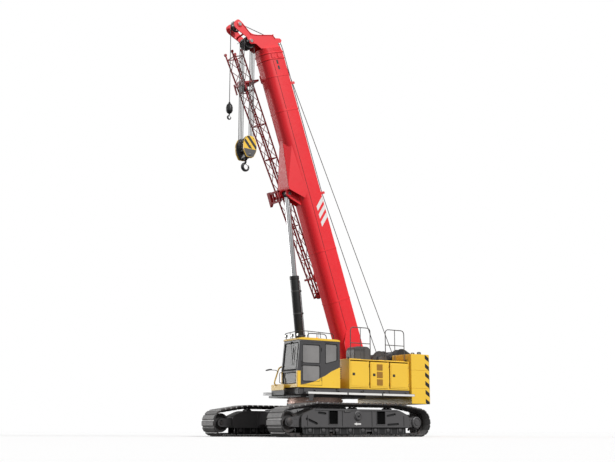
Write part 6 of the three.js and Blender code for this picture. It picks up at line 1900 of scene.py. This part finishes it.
def make_seat():
    y = (CAB_RIGHT + CAB_LEFT) / 2
    base = 2.101
    puffed("seat_pad", [(0.535, base + 0.006), (0.985, base + 0.006), (0.985, base + 0.105),
                        (0.95, base + 0.122), (0.535, base + 0.115)], y - 0.215, y + 0.215, "seat_cushion")
    puffed("seat_back_pad", [(0.400, base + 0.150), (0.505, base + 0.150), (0.440, 2.835), (0.335, 2.835)],
           y - 0.205, y + 0.205, "seat_backrest")
    # piping along the cushion's rim and two sewn channels
    kit = Kit()
    rim = soft_rectangle(0.530, 0.990, y - 0.220, y + 0.220, 0.05, 6)
    kit.tube([(px, py, base + 0.052) for px, py in rim], 0.006, "rubber", 8, closed=True)
    for side in (-1, 1):
        kit.tube([(0.40, y + side * 0.212, base + 0.18), (0.455, y + side * 0.212, base + 0.20),
                  (0.392, y + side * 0.212, 2.80)], 0.006, "rubber", 8)
    kit.prism(rounded([(0.372, base + 0.02), (0.40, base + 0.02), (0.40, base + 0.14), (0.33, 2.82),
                       (0.31, 2.80)], 0.01), y - 0.17, y + 0.17, "y", "lining", inset=0.006)
    kit.piece("seat_trim", "superstructure", smooth=60)


make_seat()

# ---------------------------------------------------------------- housings, tank, counterweight, rails

HOUSING = (-3.116, -0.396)
HOUSING_Y = (0.520, 1.500)
HOUSING_Z = (1.6205, 2.6505)
LEAF_Z = (1.6715, 2.5795)


def leaf_box(side, number):
    low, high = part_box(f"{side}_housing_door_{number}")
    return low.x - AXIS_X, high.x - AXIS_X


def make_housing(side, sign):
    base = mirrored(sign)
    kit = Kit(base)
    x0, x1 = HOUSING
    y0, y1 = HOUSING_Y
    z0, z1 = HOUSING_Z
    wall = 0.038
    for sheet in (
        (x0, x1, y0, y1, z1 - wall, z1),
        (x0, x1, y0, y1, z0, z0 + wall),
        (x0, x1, y0, y0 + wall, z0 + wall, z1 - wall),
        (x0, x0 + wall, y0 + wall, y1, z0 + wall, z1 - wall),
        (x1 - wall, x1, y0 + wall, y1, z0 + wall, z1 - wall),
    ):
        kit.box(*sheet, "yellow")
    # posts behind the seams between the doors
    count = 3 if side == "left" else 2
    for number in range(1, count):
        seam = leaf_box(side, number)[0]
        kit.box(seam - 0.035, seam + 0.035, y1 - 0.075, y1 - 0.041, z0 + wall, z1 - wall, "yellow")
    # vents in the front face: black patches of painted shade between raised yellow bars
    for k in range(6):
        z = 2.36 - 0.075 * k
        kit.prism(soft_rectangle(y0 + 0.18, y0 + 0.52, z, z + 0.030, 0.01), x1, x1 + 0.004, "x", "black")
        kit.prism(soft_rectangle(y0 + 0.18, y0 + 0.52, z + 0.030, z + 0.040, 0.004), x1, x1 + 0.014, "x",
                  "yellow")
    # roof: raised lids, lifting eyes, a row of screws, ventilation slots drawn as black patches of painted
    # shade
    for a, b in ((x0 + 0.10, x0 + 0.98), (x0 + 1.06, x0 + 1.34), (x1 - 0.62, x1 - 0.08)):
        kit.prism(soft_rectangle(a, b, y0 + 0.09, y1 - 0.09, 0.05, 5), z1, z1 + 0.018, "z", "yellow",
                  inset=0.006)
    for x in (x0 + 0.05, x1 - 0.04):
        kit.prism(rounded([(y1 - 0.16, z1), (y1 - 0.06, z1), (y1 - 0.07, z1 + 0.07),
                           (y1 - 0.15, z1 + 0.07)], 0.025), x - 0.008, x + 0.008, "x", "black",
                           holes=[circle(y1 - 0.11, z1 + 0.038, 0.018, 12)])
    for k in range(14):
        kit.bolt((x0 + 0.1 + 0.193 * k, y0 + 0.03, z1), UP, 0.009, 0.006, "black")
    # ventilation slots: black patches, painted shade
    for k in range(9):
        kit.prism(soft_rectangle(x0 + 0.20 + 0.08 * k, x0 + 0.235 + 0.08 * k, y0 + 0.2, y1 - 0.2, 0.012),
                  z1 + 0.018, z1 + 0.0195, "z", "black")
    # drip edge under the roof
    kit.prism([(y1, z1 - 0.022), (y1 + 0.014, z1 - 0.030), (y1 + 0.014, z1 - 0.018), (y1, z1 - 0.008)],
              x0 + 0.005, x1 - 0.005, "x", "yellow")
    kit.piece(f"{side}_housing_box", "superstructure", (f"{side}_housing",), bevel=0.006, smooth=30)

    for number in range(1, count + 1):
        make_leaf(side, base, number, *leaf_box(side, number))


def make_leaf(side, base, number, x0, x1):
    kit = Kit(base)
    z0, z1 = LEAF_Z
    y = HOUSING_Y[1]
    kit.prism(rectangle(x0, x1, z0, z1), y - 0.034, y, "y", "yellow")
    kit.prism(soft_rectangle(x0 + 0.05, x1 - 0.05, z0 + 0.05, z1 - 0.05, 0.03, 5), y, y + 0.007, "y",
              "yellow", inset=0.005)
    # flush latch, hinges
    latch = x1 - 0.160
    kit.prism(soft_rectangle(latch - 0.055, latch + 0.055, 2.085, 2.175, 0.015, 4), y + 0.007, y + 0.012,
              "y", "black")
    kit.prism(soft_rectangle(latch - 0.040, latch + 0.020, 2.110, 2.150, 0.008, 3), y + 0.012, y + 0.022,
              "y", "charcoal")
    for z in (z0 + 0.14, z1 - 0.14):
        kit.rod((x0 + 0.010, y + 0.003, z - 0.045), (x0 + 0.010, y + 0.003, z + 0.045), 0.009, "black", 10)
        kit.prism(soft_rectangle(x0 + 0.010, x0 + 0.055, z - 0.035, z + 0.035, 0.006), y, y + 0.009, "y",
                  "yellow")
    # grilles: on the left, backing and slats take the yellow in painted shade; on the right, a near-black
    # backing is painted shade behind black slats
    grilles = {("left", 2): ((-1.880, -1.610),), ("right", 1): ((-1.30, -0.90),),
               ("right", 2): ((-2.85, -2.40), (-2.25, -1.95))}
    backing, slat = ("yellow_in_shade", "yellow_in_shade") if side == "left" else ("shade_black", "black")
    for g0, g1 in grilles.get((side, number), ()):
        for k in range(3):
            low = 2.285 - 0.262 * k
            kit.prism(soft_rectangle(g0, g1, low, low + 0.225, 0.02), y + 0.007, y + 0.009, "y", backing)
            for j in range(6):
                z = low + 0.018 + 0.034 * j
                upper, lower = (y + 0.008, z + 0.020), (y + 0.020, z)
                a, b = g0 + 0.012, g1 - 0.012
                kit.add([(a, *upper), (b, *upper), (b, *lower), (a, *lower)], [[0, 1, 2, 3]], slat)
    kit.piece(f"{side}_housing_leaf_{number}", f"{side}_housing_door_{number}",
              (f"{side}_housing_door_{number}",), bevel=0.003, smooth=30)


both_sides(make_housing)


def make_roof_gear():
    """The filter box, exhaust and guard rails over the housings."""
    kit = Kit()
    box = rounded([(-1.706, 2.652), (-0.956, 2.652), (-0.956, 3.150), (-1.706, 3.150)],
                  [0.03, 0.03, 0.21, 0.21], 8)
    kit.prism(box, 0.580, 1.060, "y", "grey", inset=0.014)
    for x in (-1.56, -1.10):
        kit.prism(soft_rectangle(x - 0.02, x + 0.02, 2.655, 2.70, 0.004), 0.560, 1.075, "y", "black")
    for x in (-1.665, -0.997):
        kit.bolt((x, 1.06, 2.80), ACROSS, 0.012, 0.012)
    kit.turned([(0.085, 2.652), (0.085, 2.668), (0.062, 2.680), (0.062, 2.98)], (-2.06, -0.80, 0), UP,
               "grey", 28)
    kit.lathe([(0.050, 2.97), (0.062, 2.97), (0.062, 3.09), (0.050, 3.09)], (-2.06, -0.80, 0), UP, "steel",
              28, ring=True)
    kit.piece("filter_box_case", "superstructure", ("air_cleaner_box",), bevel=0.003, smooth=35)

    for side, sign in (("left", 1), ("right", -1)):
        kit = Kit(mirrored(sign))
        y = 1.320
        for x0, x1 in ((-1.476, -0.596), (-3.056, -2.176)):
            hoop = bent([(x0, y, 2.652), (x0, y, 3.782), (x1, y, 3.782), (x1, y, 2.652)], 0.16, 8)
            kit.tube(hoop, 0.0165, "grey", 12)
            kit.rod((x0, y, 3.226), (x1, y, 3.226), 0.0145, "grey", 10)
            mid = (x0 + x1) / 2
            kit.rod((mid, y, 2.652), (mid, y, 3.782), 0.0135, "grey", 10)
            for x in (x0, x1, mid):
                kit.turned([(0.048, 2.6515), (0.048, 2.662), (0.026, 2.680)], (x, y, 0), UP, "grey", 20)
        kit.piece(f"{side}_guard_hoops", "superstructure", (f"guard_rail_{side}",), smooth=45)


make_roof_gear()


def make_tank():
    kit = Kit()
    side = soft_rectangle(-0.146, 0.474, 1.6215, 2.1395, 0.08, 7)
    kit.prism(side, -1.460, -0.591, "y", "yellow", inset=0.020)
    for x in (0.00, 0.33):
        kit.prism(soft_rectangle(x - 0.03, x + 0.03, 1.6215, 2.1425, 0.01), -1.4632, -0.588, "y",
                  "charcoal")
    kit.lathe([(0, 2.138), (0.075, 2.138), (0.075, 2.158), (0.058, 2.164), (0.058, 2.196), (0.050, 2.204),
               (0, 2.206)], (0.16, -1.28, 0), UP, "black", 28)
    kit.bolt_circle((0.16, -1.28, 2.157), UP, 0.066, 8, 0.006, 0.005)
    kit.rod((0.165, -1.465, 1.72), (0.165, -1.465, 2.04), 0.012, "glass", 10)
    for z in (1.71, 2.05):
        kit.bolt((0.165, -1.455, z), (0, -1, 0), 0.018, 0.022)
    kit.box(-0.08, 0.40, -1.10, -0.80, 2.140, 2.152, "grip")
    kit.piece("fuel_tank_shell", "superstructure", ("fuel_tank",), bevel=0.003, smooth=40)


make_tank()

WEIGHT_X = (-4.129, -3.150)
WEIGHT_Y = 1.588
WEIGHT_CUT = 0.120  # the rear corners are cut by this much
SLABS = (("lower", 1.152, 1.7005), ("middle", 1.7025, 2.3505), ("upper", 2.3525, 2.9385))
WELL_Y, WELL_X = 0.520, -3.950


def make_counterweight():
    x0, x1 = WEIGHT_X
    w, cut = WEIGHT_Y, WEIGHT_CUT
    plan = [(x0, -w + cut), (x0 + cut, -w), (x1, -w), (x1, w), (x0 + cut, w), (x0, w - cut)]
    well = [(x0, -w + cut), (x0 + cut, -w), (x1, -w), (x1, -WELL_Y), (WELL_X, -WELL_Y), (WELL_X, WELL_Y),
            (x1, WELL_Y), (x1, w), (x0 + cut, w), (x0, w - cut)]
    for name, z0, z1 in SLABS:
        kit = Kit()
        outline = well if name == "upper" else plan
        kit.prism(outline, z0, z1, "z", "yellow")
        # diagonal hazard bars along both rear corners, cut to each slab's height
        for sign in (-1, 1):
            for face in ("rear", "corner", "side"):
                for k in range(7):
                    band_in_face(kit, face, sign, HAZARD_TOP - HAZARD_PITCH * k, z0, z1)
        kit.piece(f"counterweight_slab_{name}", "superstructure", (f"counterweight_{name}",), bevel=0.012,
                  smooth=30, segments=3)

    kit = Kit()
    # black cheeks on top of the block, lifting lugs, and the lamps
    for sign in (-1, 1):
        cover = [(-3.96, 2.939), (-3.40, 2.939), (-3.17, 2.939), (-3.22, 3.02), (-3.42, 3.19),
                 (-3.60, 3.20), (-3.96, 3.02)]
        y0, y1 = sorted((sign * 0.60, sign * 0.66))
        kit.prism(rounded(cover, [0.02, 0.0, 0.02, 0.05, 0.08, 0.1, 0.04], 5), y0, y1, "y", "black",
                  inset=0.006)
        for y in (sign * 1.05, sign * 1.40):
            kit.prism(rounded([(-3.80, 2.939), (-3.60, 2.939), (-3.62, 3.04), (-3.78, 3.04)], 0.05),
                      y - 0.015, y + 0.015, "y", "charcoal", holes=[circle(-3.70, 2.995, 0.024, 14)])
        kit.box(x0 - 0.012, x0, sign * 1.10 - 0.14, sign * 1.10 + 0.14, 1.40, 1.50, "black")
        kit.box(x0 - 0.020, x0 - 0.012, sign * 0.98, sign * 1.10, 1.41, 1.49, "tail")
        kit.box(x0 - 0.020, x0 - 0.012, sign * 1.11, sign * 1.22, 1.41, 1.49, "amber")
        kit.box(-3.135, -3.118, sign * 1.42, sign * 1.50, 1.75, 1.86, "black")
        kit.box(-3.128, -3.122, sign * 1.50, sign * 1.506, 1.76, 1.85, "amber")
    kit.pin(-3.49, 3.10, 0.60, 0.022, "charcoal", 14)
    for z in (2.03, 2.62):
        kit.box(x0 - 0.010, x0, -0.34, 0.34, z, z + 0.06, "charcoal")
    for y in (-0.30, 0.30):
        kit.bolt((x0 - 0.010, y, 2.06), (-1, 0, 0), 0.022, 0.016)
    kit.piece("counterweight_fittings", "superstructure", bevel=0.003)


# height at which the top bar starts on the rear face, spacing, width and slope of the bars
HAZARD_TOP, HAZARD_PITCH, HAZARD_WIDTH, HAZARD_RISE = 2.42, 0.318, 0.150, 0.62


def band_in_face(kit, face, sign, start, z0, z1):
    """One hazard bar where it crosses the rear face, the cut corner or the side of a slab."""
    x0, w, cut = WEIGHT_X[0], WEIGHT_Y, WEIGHT_CUT
    inset, gap, reach = 0.002, 0.012, 0.22
    slanted = cut * 1.414
    # where the face's bars begin and end, the way round to it, its first point and its direction
    near, far, offset, origin, way = {
        "rear": (w - cut - reach, w - cut - gap, 0.0, (x0 - 0.0015, 0.0), (0.0, 1.0)),
        "corner": (gap, slanted - gap, reach, (x0 - 0.0011, w - cut + 0.0011), (0.7071, 0.7071)),
        "side": (gap, 0.20, reach + slanted, (x0 + cut, w + 0.0015), (1.0, 0.0)),
    }[face]
    panel = rectangle(near, far, z0 + inset, z1 - inset)
    # the bar rises with the distance from its inner end
    shift = near if face == "rear" else 0
    level = start + HAZARD_RISE * (offset - shift)
    band = clipped(clipped(panel, -HAZARD_RISE, 1, level + HAZARD_WIDTH), HAZARD_RISE, -1, -level)
    if len(band) >= 3:
        points = [(origin[0] + way[0] * s, sign * (origin[1] + way[1] * s), z) for s, z in band]
        kit.add(points, [list(range(len(band)))], "black")


make_counterweight()

# ---------------------------------------------------------------- finishes of the pieces kept from the frame

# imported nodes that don't take their finish's usual material
KEPT = {
    "carbody": "charcoal", "slew_platform": "charcoal", "catwalk_left": "charcoal",
    "catwalk_right": "charcoal",
    # the front windows take the darker glass, painted shade
    "windscreen": "screen", "foot_window": "screen",
}


def finish_kept():
    """Every imported node gets its material and soft edges."""
    slots = {part["node"]: part["material_slot"] for part in frame["record"]["subparts"]}
    for node in frame["nodes"]:
        kept = bpy.data.objects.get(node)
        if kept is None:
            continue
        look = KEPT.get(node, FINISHES[slots.get(node, "grey_paint")][0])
        kept.data.materials.clear()
        kept.data.materials.append(MATERIALS[look])
        soften(kept, 0.006, 2)


finish_kept()

# ---------------------------------------------------------------- floor, light, world

FLOOR_REACH = 150
FLOOR_SEEN, FLOOR_LIT = 1.0, 0.14  # grey of the floor to the eye, and to the light it throws back
SKY_SEEN, SKY_LIT = 1.0, 0.42
SUNS = (  # name, direction towards it, strength, width in degrees
    ("key", (-0.22, 0.80, 0.62), 2.60, 12),
    ("fill", (0.85, 0.35, 0.45), 0.22, 40),
    ("rim", (0.50, -0.86, 0.12), 1.00, 30),
)


def add_stage():
    mesh = bpy.data.meshes.new("floor")
    corners = [(x, y, 0) for x, y in rectangle(-FLOOR_REACH, FLOOR_REACH, -FLOOR_REACH, FLOOR_REACH)]
    mesh.from_pydata(corners, [], [(0, 1, 2, 3)])
    floor = bpy.data.objects.new("floor", mesh)
    bpy.context.scene.collection.objects.link(floor)
    n = Nodes("pale_floor")
    path = n.node("ShaderNodeLightPath")
    seen = n.math("MAXIMUM", path.outputs["Is Camera Ray"], path.outputs["Is Transmission Ray"])
    n.drive("Base Color", n.mix(seen, (FLOOR_LIT,) * 3, (FLOOR_SEEN,) * 3))
    n.set("Roughness", 0.9)
    n.set("Specular IOR Level", 0.0)
    mesh.materials.append(n.material)


def add_sun(name, toward, strength, spread):
    data = bpy.data.lights.new(name, "SUN")
    data.energy = strength
    data.angle = radians(spread)
    sun = bpy.data.objects.new(name, data)
    sun.rotation_euler = Vector(toward).to_track_quat("Z", "Y").to_euler()
    bpy.context.scene.collection.objects.link(sun)


def add_world():
    world = bpy.data.worlds.new("studio")
    bpy.context.scene.world = world
    world.use_nodes = True
    tree = world.node_tree
    background = tree.nodes["Background"]
    path = tree.nodes.new("ShaderNodeLightPath")
    seen = tree.nodes.new("ShaderNodeMath")
    seen.operation = "MAXIMUM"
    tree.links.new(path.outputs["Is Camera Ray"], seen.inputs[0])
    tree.links.new(path.outputs["Is Transmission Ray"], seen.inputs[1])
    strength = tree.nodes.new("ShaderNodeMapRange")
    strength.inputs["To Min"].default_value = SKY_LIT
    strength.inputs["To Max"].default_value = SKY_SEEN
    tree.links.new(seen.outputs[0], strength.inputs["Value"])
    tree.links.new(strength.outputs["Result"], background.inputs["Strength"])
    background.inputs["Color"].default_value = (1, 1, 1, 1)


add_stage()
for sun in SUNS:
    add_sun(*sun)
add_world()
bpy.context.scene.view_settings.view_transform = "Standard"
